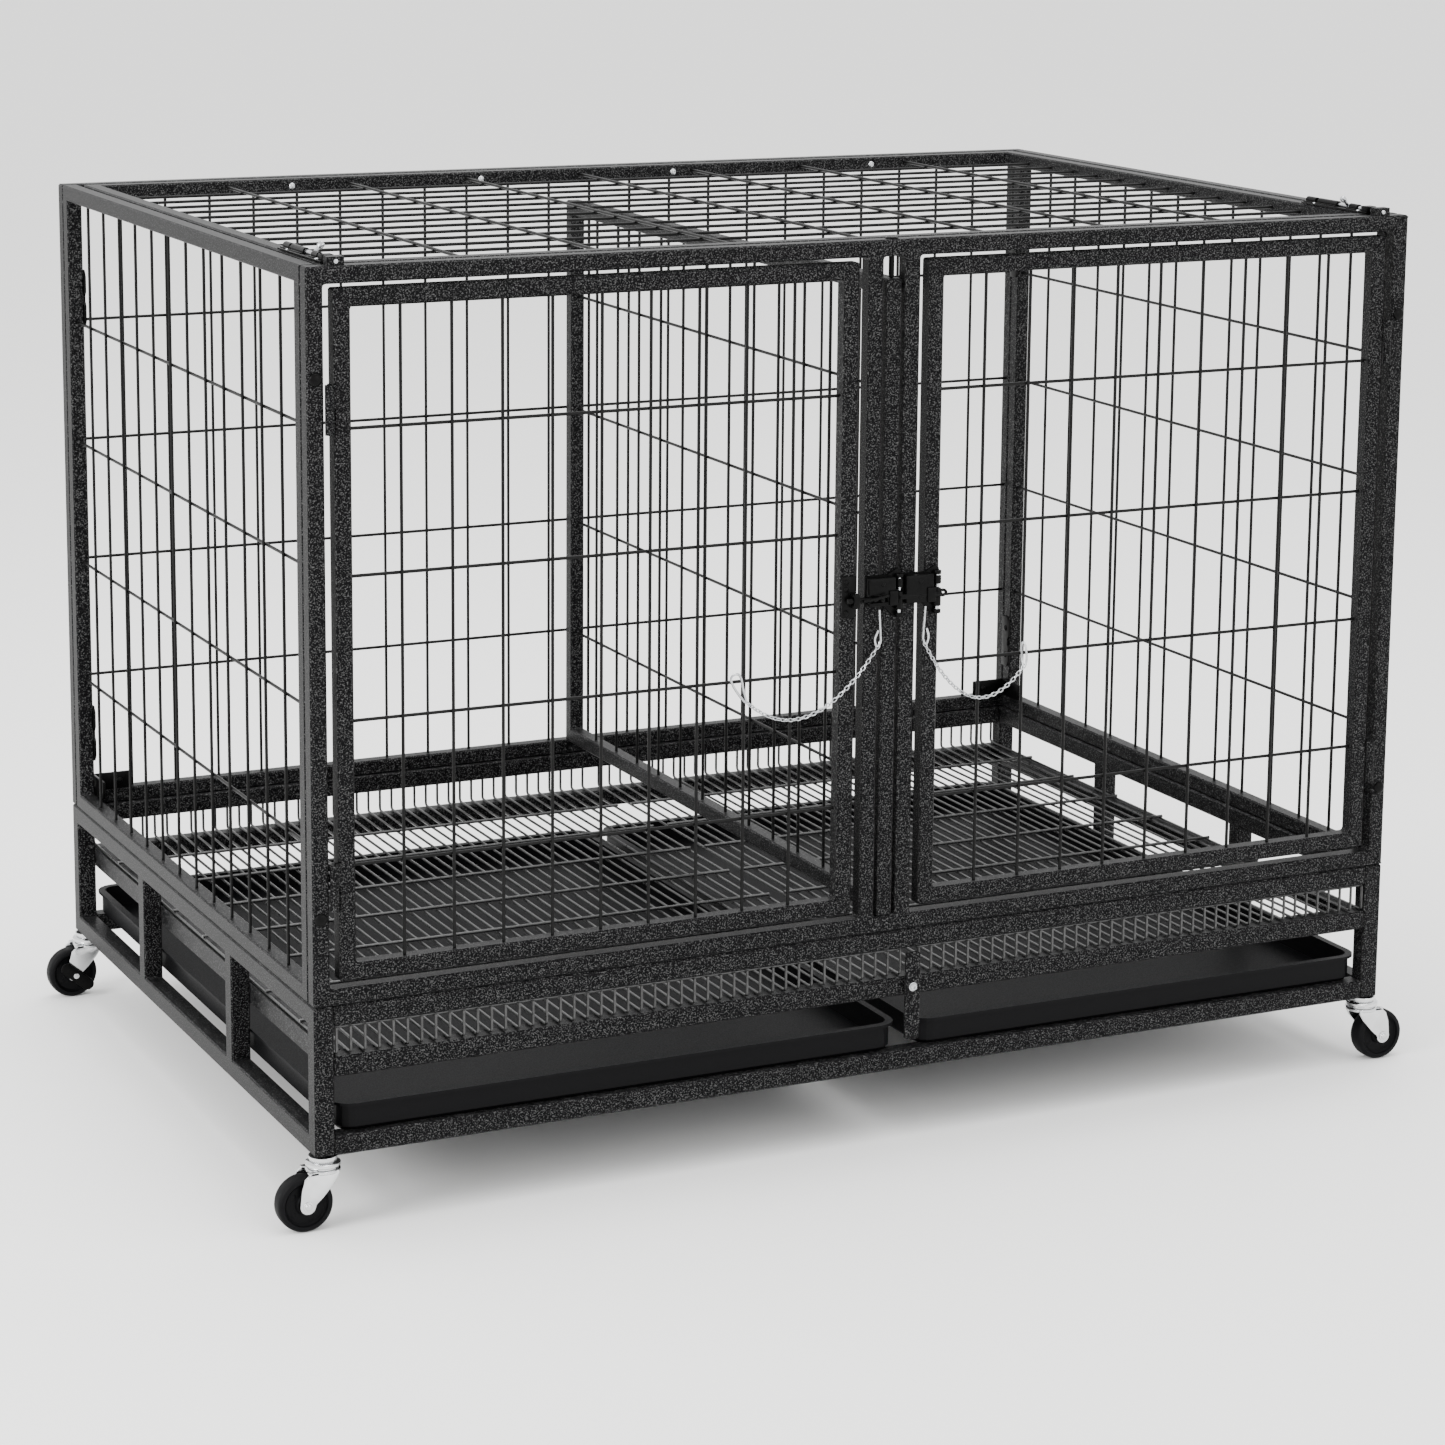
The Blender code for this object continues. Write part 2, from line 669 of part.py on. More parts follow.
def door(side):
    name = "left_door" if side < 0 else "right_door"
    hinge_x, hinge_y = door_hinge(side)
    outer = side * (HALF_LENGTH - TUBE - DOOR_GAP)
    inner = side * (SLOT_HALF + TUBE + DOOR_GAP)
    x_ends = (min(outer, inner), max(outer, inner))
    z_ends = (CAGE_BOTTOM + TUBE + DOOR_GAP_BOTTOM, TOP - TUBE - DOOR_GAP_TOP)
    at = FRONT + TUBE / 2
    origin = (hinge_x, hinge_y, z_ends[0])
    frame = tube_frame(name + "_frame", "xz", at, x_ends, z_ends, origin)
    webs, barrels, bores = [], [], []
    for low in HINGES:
        start, end = low + KNUCKLE + CLEAR, low + 2 * KNUCKLE
        web_start = (hinge_x - side * 0.0028, hinge_y - 0.0015, start + 0.0002)
        web_end = (outer - side * 0.0008, FRONT + 0.004, end - 0.0002)
        webs.append(box(web_start, web_end))
        barrels.append(rod((hinge_x, hinge_y, start), (hinge_x, hinge_y, end), HINGE_BARREL))
        bores.append(rod((hinge_x, hinge_y, start - 0.001), (hinge_x, hinge_y, end + 0.001), HINGE_BORE))
    fuse(frame, "hinge_webs", *webs)
    fuse(frame, "hinge_barrels", *barrels)
    cut(frame, "hinge_bores", *bores)
    xs = spread(x_ends[0] + TUBE, x_ends[1] - TUBE, DOOR_WIRES)
    grille(name + "_mesh", "xz", at, xs, DOOR_LEVELS, x_ends, z_ends, origin)


def door_pins(side):
    """The lower knuckle of each door hinge, with the pin standing in it."""
    name = "left_door_pin" if side < 0 else "right_door_pin"
    x, y = door_hinge(side)
    for where, low in zip(("lower", "upper"), HINGES):
        knuckle = rod((x, y, low), (x, y, low + KNUCKLE), HINGE_BARREL)
        full = f"{name}_{where}"
        pin = part(full, shapes_mesh(full, [knuckle]), HAMMERTONE, (x, y, low), round_piece=True)
        fuse(pin, "shaft", rod((x, y, low + 0.001), (x, y, low + 2 * KNUCKLE + 0.0012), HINGE_PIN))


def latch_box(x_near, x_far, y_back, y_front, half_height):
    """A box on the front of the crate. Depths are measured forwards from the front face."""
    return box((x_near, FRONT - y_back, LATCH_Z - half_height), (x_far, FRONT - y_front, LATCH_Z + half_height))


def latch_bar(x_near, x_far, radius):
    rod_y = FRONT - 0.0075
    return rod((x_near, rod_y, LATCH_Z), (x_far, rod_y, LATCH_Z), radius)


def latch_plate(name, x_ends, covers, bores, origin=(0, 0, 0)):
    """A plate with raised covers that its slide bolt runs through."""
    shapes = [latch_box(x_ends[0], x_ends[1], CLEAR, 0.0028, 0.022)]
    plate = part(name, shapes_mesh(name, shapes), BLACK_PAINT, origin)
    fuse(plate, "covers", *[latch_box(low, high, 0.0010, 0.0120, 0.0085) for low, high in covers])
    cut(plate, "bores", *[latch_bar(low, high, LATCH_BORE) for low, high in bores])
    return plate


def latches():
    """Two slide bolts. The left one locks its door to a plate on the latch posts, and the right
    one sits on its door and locks into the far edge of that plate."""
    rod_y = FRONT - 0.0075
    left = latch_plate(
        "left_latch_plate", (-0.0270, 0.0102), ((-0.0265, 0.0015), (0.0046, 0.0102)), ((-0.040, 0.012),)
    )
    cut(left, "slot", latch_box(-0.0245, -0.0060, 0.0075, 0.02, 0.0026))
    hinge_x, hinge_y = door_hinge(-1)
    bracket_mesh = shapes_mesh("left_latch_bracket", [latch_box(-0.0495, -0.0358, CLEAR, 0.0028, 0.018)])
    bracket = part("left_latch_bracket", bracket_mesh, BLACK_PAINT, (hinge_x, hinge_y, LATCH_Z))
    fuse(bracket, "loop", latch_box(-0.0420, -0.0362, 0.0010, 0.0120, 0.0070))
    cut(bracket, "bore", latch_bar(-0.055, -0.030, LATCH_BORE))
    bolt_mesh = shapes_mesh("left_latch_bolt", [latch_bar(-0.0470, -0.0165, LATCH_ROD)])
    bolt = part("left_latch_bolt", bolt_mesh, BLACK_PAINT, (-0.0225, rod_y, LATCH_Z), round_piece=True)
    fuse(bolt, "knob", rod((-0.0220, rod_y - 0.0005, LATCH_Z), (-0.0220, FRONT - 0.0145, LATCH_Z), 0.0021))

    hinge_x, hinge_y = door_hinge(1)
    origin = (hinge_x, hinge_y, LATCH_Z)
    latch_plate("right_latch_plate", (0.0110, 0.0490), ((0.0115, 0.0455),), ((0.009, 0.050),), origin)
    bolt_mesh = shapes_mesh("right_latch_bolt", [latch_bar(0.0052, 0.0490, LATCH_ROD)])
    bolt = part("right_latch_bolt", bolt_mesh, BLACK_PAINT, (0.0490, rod_y, LATCH_Z), round_piece=True)
    ring = rod((0.0506, rod_y - 0.0014, LATCH_Z), (0.0506, rod_y + 0.0014, LATCH_Z), 0.0042)
    fuse(bolt, "ring", ring)


def chain(side, path):
    """A safety chain with its locking pin, drawn as one bent bar. It hangs on its door."""
    name = "left_chain" if side < 0 else "right_chain"
    hinge_x, hinge_y = door_hinge(side)
    curve = bpy.data.curves.new(name, "CURVE")
    curve.dimensions = "3D"
    curve.bevel_depth = 0.0018
    curve.bevel_resolution = 1
    curve.use_fill_caps = True
    spline = curve.splines.new("POLY")
    spline.points.add(len(path) - 1)
    for point, (x, z) in zip(spline.points, path):
        point.co = (x - hinge_x, FRONT - 0.0055 - hinge_y, z - LATCH_Z, 1)
    curve.materials.append(own_material(name, ZINC))
    obj = bpy.data.objects.new(name, curve)
    obj.location = (hinge_x, hinge_y, LATCH_Z)
    PARTS.objects.link(obj)


def sagging(start, low, end, steps=4):
    """Points along a hanging line: two half parabolas that meet level at its lowest point."""
    points = []
    for i in range(steps + 1):
        part_way = 1 - i / steps
        points.append((low[0] + (start[0] - low[0]) * part_way, low[1] + (start[1] - low[1]) * part_way**2))
    for i in range(1, steps + 1):
        part_way = i / steps
        points.append((low[0] + (end[0] - low[0]) * part_way, low[1] + (end[1] - low[1]) * part_way**2))
    return points


def chains():
    left_pin = [(-0.0175, 0.4885)]
    chain(-1, left_pin + sagging((-0.0170, 0.4616), (-0.1020, 0.4040), (-0.1600, 0.4540)))
    right_pin = [(0.0310, 0.4885)]
    chain(1, right_pin + sagging((0.0290, 0.4590), (0.0890, 0.4015), (0.1330, 0.4470)))


def main():
    base()
    for side in (-1, 1):
        tray(side)
        grate(side)
    strap()
    casters()
    front_frame()
    back_panel()
    divider()
    roof()
    for side in (-1, 1):
        side_panel(side)
        roof_bolt(side)
        door(side)
        door_pins(side)
    latches()
    chains()


main()
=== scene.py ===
from math import cos, pi, radians, sin, tau

import bmesh
import bpy
from bpy.props import FloatProperty, FloatVectorProperty, PointerProperty
from mathutils import Matrix, Vector


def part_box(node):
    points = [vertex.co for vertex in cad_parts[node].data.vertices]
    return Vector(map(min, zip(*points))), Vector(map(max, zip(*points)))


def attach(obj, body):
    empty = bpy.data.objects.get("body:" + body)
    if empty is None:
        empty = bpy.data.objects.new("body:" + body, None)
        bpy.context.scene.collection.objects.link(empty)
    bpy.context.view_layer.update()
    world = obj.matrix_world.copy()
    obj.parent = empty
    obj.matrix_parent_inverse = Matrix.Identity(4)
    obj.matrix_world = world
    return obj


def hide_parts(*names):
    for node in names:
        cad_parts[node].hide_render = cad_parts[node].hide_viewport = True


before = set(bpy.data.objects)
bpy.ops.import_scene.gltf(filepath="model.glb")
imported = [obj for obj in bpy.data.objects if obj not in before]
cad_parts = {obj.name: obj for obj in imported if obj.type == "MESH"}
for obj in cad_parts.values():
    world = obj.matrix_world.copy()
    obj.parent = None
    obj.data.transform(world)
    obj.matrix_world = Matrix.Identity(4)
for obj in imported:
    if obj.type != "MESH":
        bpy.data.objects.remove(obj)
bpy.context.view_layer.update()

bl_info = {
    "name": "Wire dog crate",
    "version": (1, 0, 0),
    "blender": (4, 5, 0),
    "location": "3D View > Sidebar > Dog crate",
    "description": "Finishes and fine detail for a rolling wire dog crate with twin doors",
    "category": "Object",
}

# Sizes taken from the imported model, in metres
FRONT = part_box("front_frame")[0].y
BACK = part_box("back_frame")[1].y
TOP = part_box("left_panel_frame")[1].z
HALF_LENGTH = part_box("front_frame")[1].x
BASE_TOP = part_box("base_left_end")[1].z
TUBE = 0.015
CLEAR = 0.0003
SIDES = (("left", -1), ("right", 1))


def linear(hex_colour):
    """An sRGB hex colour as linear red, green and blue."""
    channels = [int(hex_colour[i : i + 2], 16) / 255 for i in (1, 3, 5)]
    return tuple(c / 12.92 if c <= 0.04045 else ((c + 0.055) / 1.055) ** 2.4 for c in channels)


def length(name, description, default):
    return FloatProperty(
        name=name, description=description, default=default, min=0, unit="LENGTH", precision=4
    )


def colour(name, description, default):
    return FloatVectorProperty(
        name=name, description=description, default=linear(default), subtype="COLOR", size=3, min=0, max=1
    )


class CrateSizes(bpy.types.PropertyGroup):
    """Sizes of the fine detail."""

    panel_wire: length("Panel wire", "Thickness of the wires of the panels, doors and roof", 0.003)
    grate_wire: length("Grate wire", "Thickness of the wires of the floor grates", 0.0026)
    grate_pitch: length("Grate pitch", "Distance between the long wires of the floor grates", 0.013)
    grate_cross_pitch: length("Grate cross pitch", "Distance between the crosswires of the grates", 0.105)
    chain_wire: length("Chain wire", "Thickness of the wire of a chain link", 0.0011)
    link_length: length("Link length", "Length over all of a chain link", 0.0058)
    link_width: length("Link width", "Width over all of a chain link", 0.0040)
    fleck: length("Fleck", "Size of the silver flecks in the hammertone paint", 0.0013)


class CrateColours(bpy.types.PropertyGroup):
    """Colours of the finishes."""

    hammertone: colour("Hammertone", "Dark body of the hammertone paint", "#070708")
    silver_fleck: colour("Silver fleck", "Aluminium flecks in the hammertone paint", "#5a5a5a")
    wire: colour("Wire", "Powder coat of the wires", "#080808")
    # Lighter than the panel wire: a painted highlight on the grates' black wire
    grate_wire: colour("Grate wire", "Thin coat of the grates", "#3a3a3a")
    tray: colour("Tray", "Moulded plastic of the trays", "#070708")
    hardware: colour("Hardware", "Black coat of the latches and gussets", "#050505")
    chrome: colour("Chrome", "Plating of the casters", "#d4d5d6")
    zinc: colour("Zinc", "Plating of the chains, pins and bolts", "#c4c6c8")
    tyre: colour("Tyre", "Rubber of the wheels", "#060607")
    floor: colour("Floor", "Studio floor and backdrop", "#f4f4f3")


# Materials


def add_node(tree, kind, inputs=None, **settings):
    """A shader node with its settings, and its inputs set or linked."""
    made = tree.nodes.new(kind)
    for name, value in settings.items():
        setattr(made, name, value)
    for name, value in (inputs or {}).items():
        if isinstance(value, bpy.types.NodeSocket):
            tree.links.new(value, made.inputs[name])
        else:
            made.inputs[name].default_value = value
    return made


def start_material(name, **settings):
    """A material with its shader's plain values set. Returns it with its tree, shader and place."""
    material = bpy.data.materials.new(name)
    material.use_nodes = True
    tree = material.node_tree
    shader = tree.nodes["Principled BSDF"]
    for socket, value in settings.items():
        shader.inputs[socket.replace("_", " ")].default_value = value
    place = add_node(tree, "ShaderNodeTexCoord").outputs["Object"]
    return material, tree, shader, place


def two_tone(tree, place, size, detail, low, high, first, second):
    """Noise of a real size in metres, mixing two colours between two of its levels."""
    noise = add_node(tree, "ShaderNodeTexNoise", {"Vector": place, "Scale": 1 / size, "Detail": detail})
    levels = {"Value": noise.outputs["Fac"], "From Min": low, "From Max": high}
    share = add_node(tree, "ShaderNodeMapRange", levels).outputs["Result"]
    mixed = add_node(
        tree, "ShaderNodeMix", {"Factor": share, 6: (*first, 1), 7: (*second, 1)}, data_type="RGBA"
    )
    return noise, share, mixed.outputs[2]


def vary_roughness(tree, shader, value, low, high):
    levels = {"Value": value, "To Min": low, "To Max": high}
    ranged = add_node(tree, "ShaderNodeMapRange", levels)
    tree.links.new(ranged.outputs["Result"], shader.inputs["Roughness"])


def add_bump(tree, shader, height, depth, strength):
    bump = add_node(tree, "ShaderNodeBump", {"Height": height, "Distance": depth, "Strength": strength})
    tree.links.new(bump.outputs["Normal"], shader.inputs["Normal"])


def hammertone_paint(sizes, colours):
    """Hammertone enamel: a dark glossy film with a fine silver sparkle and small dimples."""
    material, tree, shader, place = start_material(
        "hammertone_enamel", Metallic=0.15, Specular_IOR_Level=0.05
    )
    # The flecks are drawn at 1.3 mm: real ones are finer than a millimetre and would not show.
    noise, _, mixed = two_tone(
        tree, place, sizes.fleck, 2.5, 0.51, 0.78, colours.hammertone, colours.silver_fleck
    )
    tree.links.new(mixed, shader.inputs["Base Color"])
    vary_roughness(tree, shader, noise.outputs["Fac"], 0.34, 0.52)
    add_bump(tree, shader, noise.outputs["Fac"], 0.0002, 0.30)
    return material


def powder_coated_wire(sizes, colours):
    """Satin powder coat over drawn wire: near black, with a soft even highlight."""
    material, tree, shader, place = start_material("satin_powder_coat", Specular_IOR_Level=0.12)
    _, share, mixed = two_tone(
        tree, place, 0.004, 2, 0.3, 0.7, colours.wire, [c * 1.6 for c in colours.wire]
    )
    tree.links.new(mixed, shader.inputs["Base Color"])
    vary_roughness(tree, shader, share, 0.36, 0.48)
    return material


def lightened_grate_wire_painted_highlight(sizes, colours):
    """The grates' black wire made lighter and glossier: the lighter colour is a painted highlight, and their
    tops shine more than the panels do.
    """
    material, tree, shader, place = start_material("grate_wire_painted_highlight", Metallic=0.8)
    _, share, mixed = two_tone(
        tree, place, 0.004, 2, 0.3, 0.7, colours.grate_wire, [c * 1.6 for c in colours.grate_wire]
    )
    tree.links.new(mixed, shader.inputs["Base Color"])
    vary_roughness(tree, shader, share, 0.26, 0.38)
    return material


def moulded_tray_plastic(sizes, colours):
    """Injection-moulded ABS: charcoal black, a fine spark-eroded grain and a dull sheen."""
    material, tree, shader, place = start_material("moulded_abs_plastic", IOR=1.54, Specular_IOR_Level=0.06)
    noise, share, mixed = two_tone(
        tree, place, 0.0012, 2, 0.3, 0.7, colours.tray, [c * 1.5 for c in colours.tray]
    )
    tree.links.new(mixed, shader.inputs["Base Color"])
    vary_roughness(tree, shader, share, 0.42, 0.56)
    add_bump(tree, shader, noise.outputs["Fac"], 0.0001, 0.25)
    return material


def black_hardware_enamel(sizes, colours):
    """Stoved enamel on pressed steel: deep black with a tight gloss and a faint orange peel."""
    material, tree, shader, place = start_material("stoved_black_enamel", Specular_IOR_Level=0.07)
    noise, share, mixed = two_tone(
        tree, place, 0.003, 1, 0.3, 0.7, colours.hardware, [c * 1.5 for c in colours.hardware]
    )
    tree.links.new(mixed, shader.inputs["Base Color"])
    vary_roughness(tree, shader, share, 0.28, 0.40)
    add_bump(tree, shader, noise.outputs["Fac"], 0.0001, 0.15)
    return material


def chrome_plate(sizes, colours):
    """Bright chrome plate on stamped steel: mirror-like, with slight waviness from the press."""
    material, tree, shader, place = start_material("bright_chrome_plate", Metallic=1.0)
    noise, share, mixed = two_tone(
        tree, place, 0.012, 1, 0.3, 0.7, colours.chrome, [c * 0.86 for c in colours.chrome]
    )
    tree.links.new(mixed, shader.inputs["Base Color"])
    vary_roughness(tree, shader, share, 0.10, 0.20)
    add_bump(tree, shader, noise.outputs["Fac"], 0.0003, 0.12)
    return material


def bright_zinc_plate(sizes, colours):
    """Bright zinc plate on wire and bolts: silver with cloudy patches and a soft shine."""
    material, tree, shader, place = start_material("bright_zinc_plate", Metallic=1.0)
    noise, share, mixed = two_tone(
        tree, place, 0.0025, 2, 0.35, 0.65, colours.zinc, [c * 0.72 for c in colours.zinc]
    )
    tree.links.new(mixed, shader.inputs["Base Color"])
    vary_roughness(tree, shader, share, 0.20, 0.34)
    add_bump(tree, shader, noise.outputs["Fac"], 0.0001, 0.15)
    return material


def wheel_rubber(sizes, colours):
    """Moulded rubber tyre: dark grey-black, matt, with dusty patches."""
    material, tree, shader, place = start_material("moulded_rubber", Specular_IOR_Level=0.08)
    _, share, mixed = two_tone(
        tree, place, 0.006, 3, 0.35, 0.75, colours.tyre, [c * 2.0 for c in colours.tyre]
    )
    tree.links.new(mixed, shader.inputs["Base Color"])
    vary_roughness(tree, shader, share, 0.50, 0.68)
    return material


def studio_floor(sizes, colours):
    """Matt white studio sheet, even and without grain."""
    material, _, shader, _ = start_material("matt_studio_sheet", Roughness=0.9, Specular_IOR_Level=0.1)
    shader.inputs["Base Color"].default_value = (*colours.floor, 1)
    return material


FINISHES = {
    "hammertone": hammertone_paint,
    "black_wire": powder_coated_wire,
    # The grates' wire: a lighter copy of the black wire, whose lighter colour is a painted highlight
    "grate_wire": lightened_grate_wire_painted_highlight,
    "black_plastic": moulded_tray_plastic,
    "black_paint": black_hardware_enamel,
    "chrome": chrome_plate,
    "zinc": bright_zinc_plate,
    "wheel": wheel_rubber,
    "floor": studio_floor,
}
MADE_FINISHES = {}


def finish_of(slot_name):
    """The finish of a material slot, made on first use."""
    if slot_name not in MADE_FINISHES:
        scene = bpy.context.scene
        MADE_FINISHES[slot_name] = FINISHES[slot_name](scene.crate_sizes, scene.crate_colours)
    return MADE_FINISHES[slot_name]


def paint(node_name, slot_name):
    """Puts a finish on a CAD node that keeps its own shape."""
    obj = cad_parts[node_name]
    obj.data.materials.clear()
    obj.data.materials.append(finish_of(slot_name))


# Shapes


def corners_of(low, high):
    return Vector(map(min, low, high)), Vector(map(max, low, high))


def add_box(bm, low, high, edge=0.0, segments=2):
    """A box with rounded edges."""
    low, high = corners_of(low, high)
    place = Matrix.Translation((low + high) / 2) @ Matrix.Diagonal((*(high - low), 1))
    made = bmesh.ops.create_cube(bm, size=1, matrix=place)["verts"]
    if edge:
        edges = list({e for vert in made for e in vert.link_edges})
        bmesh.ops.bevel(bm, geom=edges, offset=edge, segments=segments, profile=0.5, affect="EDGES")


def add_lathe(bm, centre, axis, profile, steps=24, closed=False):
    """A turned shape: radius and height pairs swept about an axis through the centre."""
    turn = Vector(axis).to_track_quat("Z", "Y").to_matrix()
    rings = []
    for radius, height in profile:
        count = 1 if radius == 0 else steps
        angles = [tau * i / steps for i in range(count)]
        offsets = [Vector((radius * cos(a), radius * sin(a), height)) for a in angles]
        rings.append([bm.verts.new(Vector(centre) + turn @ offset) for offset in offsets])
    pairs = list(zip(rings, rings[1:]))
    if closed:
        pairs.append((rings[-1], rings[0]))
    for near, far in pairs:
        for i in range(steps):
            j = i + 1
            around = (near[i % len(near)], near[j % len(near)], far[j % len(far)], far[i % len(far)])
            bm.faces.new(list(dict.fromkeys(around)))


def add_rod(bm, start, end, radius, steps=16, rounding=0.0):
    """A round bar, with rounded ends where asked."""
    start, end = Vector(start), Vector(end)
    reach = (end - start).length
    profile = [(0, 0)]
    if rounding:
        profile += [(radius - rounding, 0), (radius - 0.3 * rounding, 0.3 * rounding), (radius, rounding)]
        profile += [(radius, reach - rounding), (radius - 0.3 * rounding, reach - 0.3 * rounding)]
        profile += [(radius - rounding, reach)]
    else:
        profile += [(radius, 0), (radius, reach)]
    profile.append((0, reach))
    add_lathe(bm, start, end - start, profile, steps)


def add_dome(bm, base, axis, radius, height, steps=20):
    """A screw's or rivet's domed head, with its flat side at the base."""
    profile = [(0, 0), (radius, 0), (radius, height * 0.25)]
    profile += [(radius * cos(a), height * (0.25 + 0.75 * sin(a))) for a in (0.5, 0.9, 1.25)]
    profile.append((0, height))
    add_lathe(bm, base, axis, profile, steps)


def rounded_path(points, radius, steps=4):
    """The path with its inner corners rounded."""
    points = [Vector(p) for p in points]
    path = [points[0]]
    for before, corner, after in zip(points, points[1:], points[2:]):
        reach_in = min(radius, (before - corner).length / 2)
        reach_out = min(radius, (after - corner).length / 2)
        start = corner + (before - corner).normalized() * reach_in
        end = corner + (after - corner).normalized() * reach_out
        for i in range(steps + 1):
            t = i / steps
            path.append(start * (1 - t) ** 2 + corner * 2 * t * (1 - t) + end * t**2)
    path.append(points[-1])
    return path


def add_tube(bm, points, radius, sides=8, loop=False):
    """A round wire along a path."""
    points = [Vector(p) for p in points]
    count = len(points)
    rings = []
    normal = None
    for i, point in enumerate(points):
        before = points[i - 1] if loop or i else point
        after = points[(i + 1) % count] if loop or i < count - 1 else point
        along = (after - before).normalized()
        if normal is None:
            normal = along.orthogonal().normalized()
        normal = (normal - along * normal.dot(along)).normalized()
        across = along.cross(normal)
        ring = []
        for k in range(sides):
            angle = tau * k / sides
            ring.append(bm.verts.new(point + radius * (normal * cos(angle) + across * sin(angle))))
        rings.append(ring)
    pairs = list(zip(rings, rings[1:]))
    if loop:
        pairs.append((rings[-1], rings[0]))
    for near, far in pairs:
        shift = nearest_turn(near, far) if near is rings[-1] else 0
        for k in range(sides):
            m = (k + 1) % sides
            bm.faces.new((near[k], near[m], far[(m + shift) % sides], far[(k + shift) % sides]))
    if not loop:
        bm.faces.new(rings[0][::-1])
        bm.faces.new(rings[-1])


def nearest_turn(near, far):
    """How far a ring is turned against the next one, where a loop closes."""
    reach = [(near[0].co - vert.co).length for vert in far]
    return reach.index(min(reach))


def add_plate(bm, outline, through, edge=0.0):
    """A flat outline thickened by a vector, with its rims rounded."""
    through = Vector(through)
    near = [bm.verts.new(p) for p in outline]
    far = [bm.verts.new(Vector(p) + through) for p in outline]
    caps = [bm.faces.new(near), bm.faces.new(far[::-1])]
    count = len(outline)
    for i in range(count):
        j = (i + 1) % count
        bm.faces.new((near[i], near[j], far[j], far[i]))
    if edge:
        rims = [e for cap in caps for e in cap.edges]
        bmesh.ops.bevel(bm, geom=rims, offset=edge, segments=2, profile=0.5, affect="EDGES")


def piece(name, bm, slot_name, body, replaced=(), sharp=40):
    """Makes an object of the shapes, with its finish and the CAD body it rides on."""
    bmesh.ops.recalc_face_normals(bm, faces=bm.faces)
    mesh = bpy.data.meshes.new(name)
    bm.to_mesh(mesh)
    bm.free()
    for face in mesh.polygons:
        face.use_smooth = True
    mesh.set_sharp_from_angle(angle=radians(sharp))
    mesh.materials.append(finish_of(slot_name))
    obj = bpy.data.objects.new(name, mesh)
    bpy.context.scene.collection.objects.link(obj)
    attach(obj, body)
    if replaced:
        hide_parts(*replaced)
    return obj


# Wire panels

LEVELS = (0.336, 0.457, 0.579, 0.700)
DOOR_LEVELS = (0.321, 0.447, 0.572, 0.698)
# node, body, the axes along, up and through the panel, uprights, crosswire heights, crosswires first
WIRE_PANELS = (
    ("left_panel_mesh", "crate", (1, 2, 0), 12, LEVELS, False),
    ("right_panel_mesh", "crate", (1, 2, 0), 12, LEVELS, True),
    ("back_mesh", "crate", (0, 2, 1), 22, LEVELS, True),
    ("divider_mesh", "divider", (1, 2, 0), 12, LEVELS, False),
    ("left_door_mesh", "left_door", (0, 2, 1), 9, DOOR_LEVELS, False),
    ("right_door_mesh", "right_door", (0, 2, 1), 9, DOOR_LEVELS, False),
    ("roof_mesh", "roof", (0, 1, 2), 7, 13, True),
)


def spread(low, high, count):
    """Evenly spaced places with a full gap at both ends."""
    step = (high - low) / (count + 1)
    return [low + step * (i + 1) for i in range(count)]


def wire_panel(name, body, axes, uprights, levels, crosswires_first, radius):
    """Round wires welded across each other, with their ends in the tube frame."""
    along, up, through = axes
    low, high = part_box(name)
    into = 0.001
    near, far = low[through] + radius, high[through] - radius
    upright_depth, cross_depth = (far, near) if crosswires_first else (near, far)
    if isinstance(levels, int):
        levels = spread(low[up] - CLEAR, high[up] + CLEAR, levels)
    bm = bmesh.new()
    for place in spread(low[along] - CLEAR, high[along] + CLEAR, uprights):
        start, end = Vector(), Vector()
        start[along] = end[along] = place
        start[through] = end[through] = upright_depth
        start[up], end[up] = low[up] - into, high[up] + into
        add_rod(bm, start, end, radius, 10)
    for level in levels:
        start, end = Vector(), Vector()
        start[up] = end[up] = level
        start[through] = end[through] = cross_depth
        start[along], end[along] = low[along] - into, high[along] + into
        add_rod(bm, start, end, radius, 10)
    piece(name.replace("mesh", "wires"), bm, "black_wire", body, (name,))


class CRATE_OT_wire_panels(bpy.types.Operator):
    """Builds the round welded wires of the walls, divider, roof and doors"""

    bl_idname = "crate.wire_panels"
    bl_label = "Wire panels"

    def execute(self, context):
        radius = context.scene.crate_sizes.panel_wire / 2
        for row in WIRE_PANELS:
            wire_panel(*row, radius)
        return {"FINISHED"}


# Floor grates and trays


def floor_grate(name, sizes):
    """Long wires turned up at both ends, crosswires over them and a wire along each fence."""
    low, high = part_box(name)
    radius = sizes.grate_wire / 2
    count = round((high.x - low.x - 2 * radius) / sizes.grate_pitch)
    step = (high.x - low.x - 2 * radius) / count
    front, back = low.y + radius, high.y - radius
    bottom, top = low.z + radius, high.z - radius
    bm = bmesh.new()
    for i in range(count + 1):
        x = low.x + radius + i * step
        bent = rounded_path(((x, front, top), (x, front, bottom), (x, back, bottom), (x, back, top)), 0.004)
        add_tube(bm, bent, radius, 8)
    crosswires = round((back - front) / sizes.grate_cross_pitch)
    for y in spread(front, back, crosswires):
        z = bottom + 1.9 * radius
        add_rod(bm, (low.x, y, z), (high.x, y, z), radius * 1.2, 10)
    for y in (front + 1.9 * radius, back - 1.9 * radius):
        add_rod(bm, (low.x, y, top), (high.x, y, top), radius, 10)
    grate = piece(name + "_wires", bm, "black_wire", name, (name,))
    # The grates' wire finish is lighter than the panel wire: a painted highlight
    grate.data.materials[0] = finish_of("grate_wire")


class CRATE_OT_floor(bpy.types.Operator):
    """Builds the dense wire grates and paints the trays"""

    bl_idname = "crate.floor"
    bl_label = "Grates and trays"

    def execute(self, context):
        for side_name, side in SIDES:
            floor_grate(side_name + "_grate", context.scene.crate_sizes)
            paint(side_name + "_tray", "black_plastic")
        return {"FINISHED"}


# Tube frames

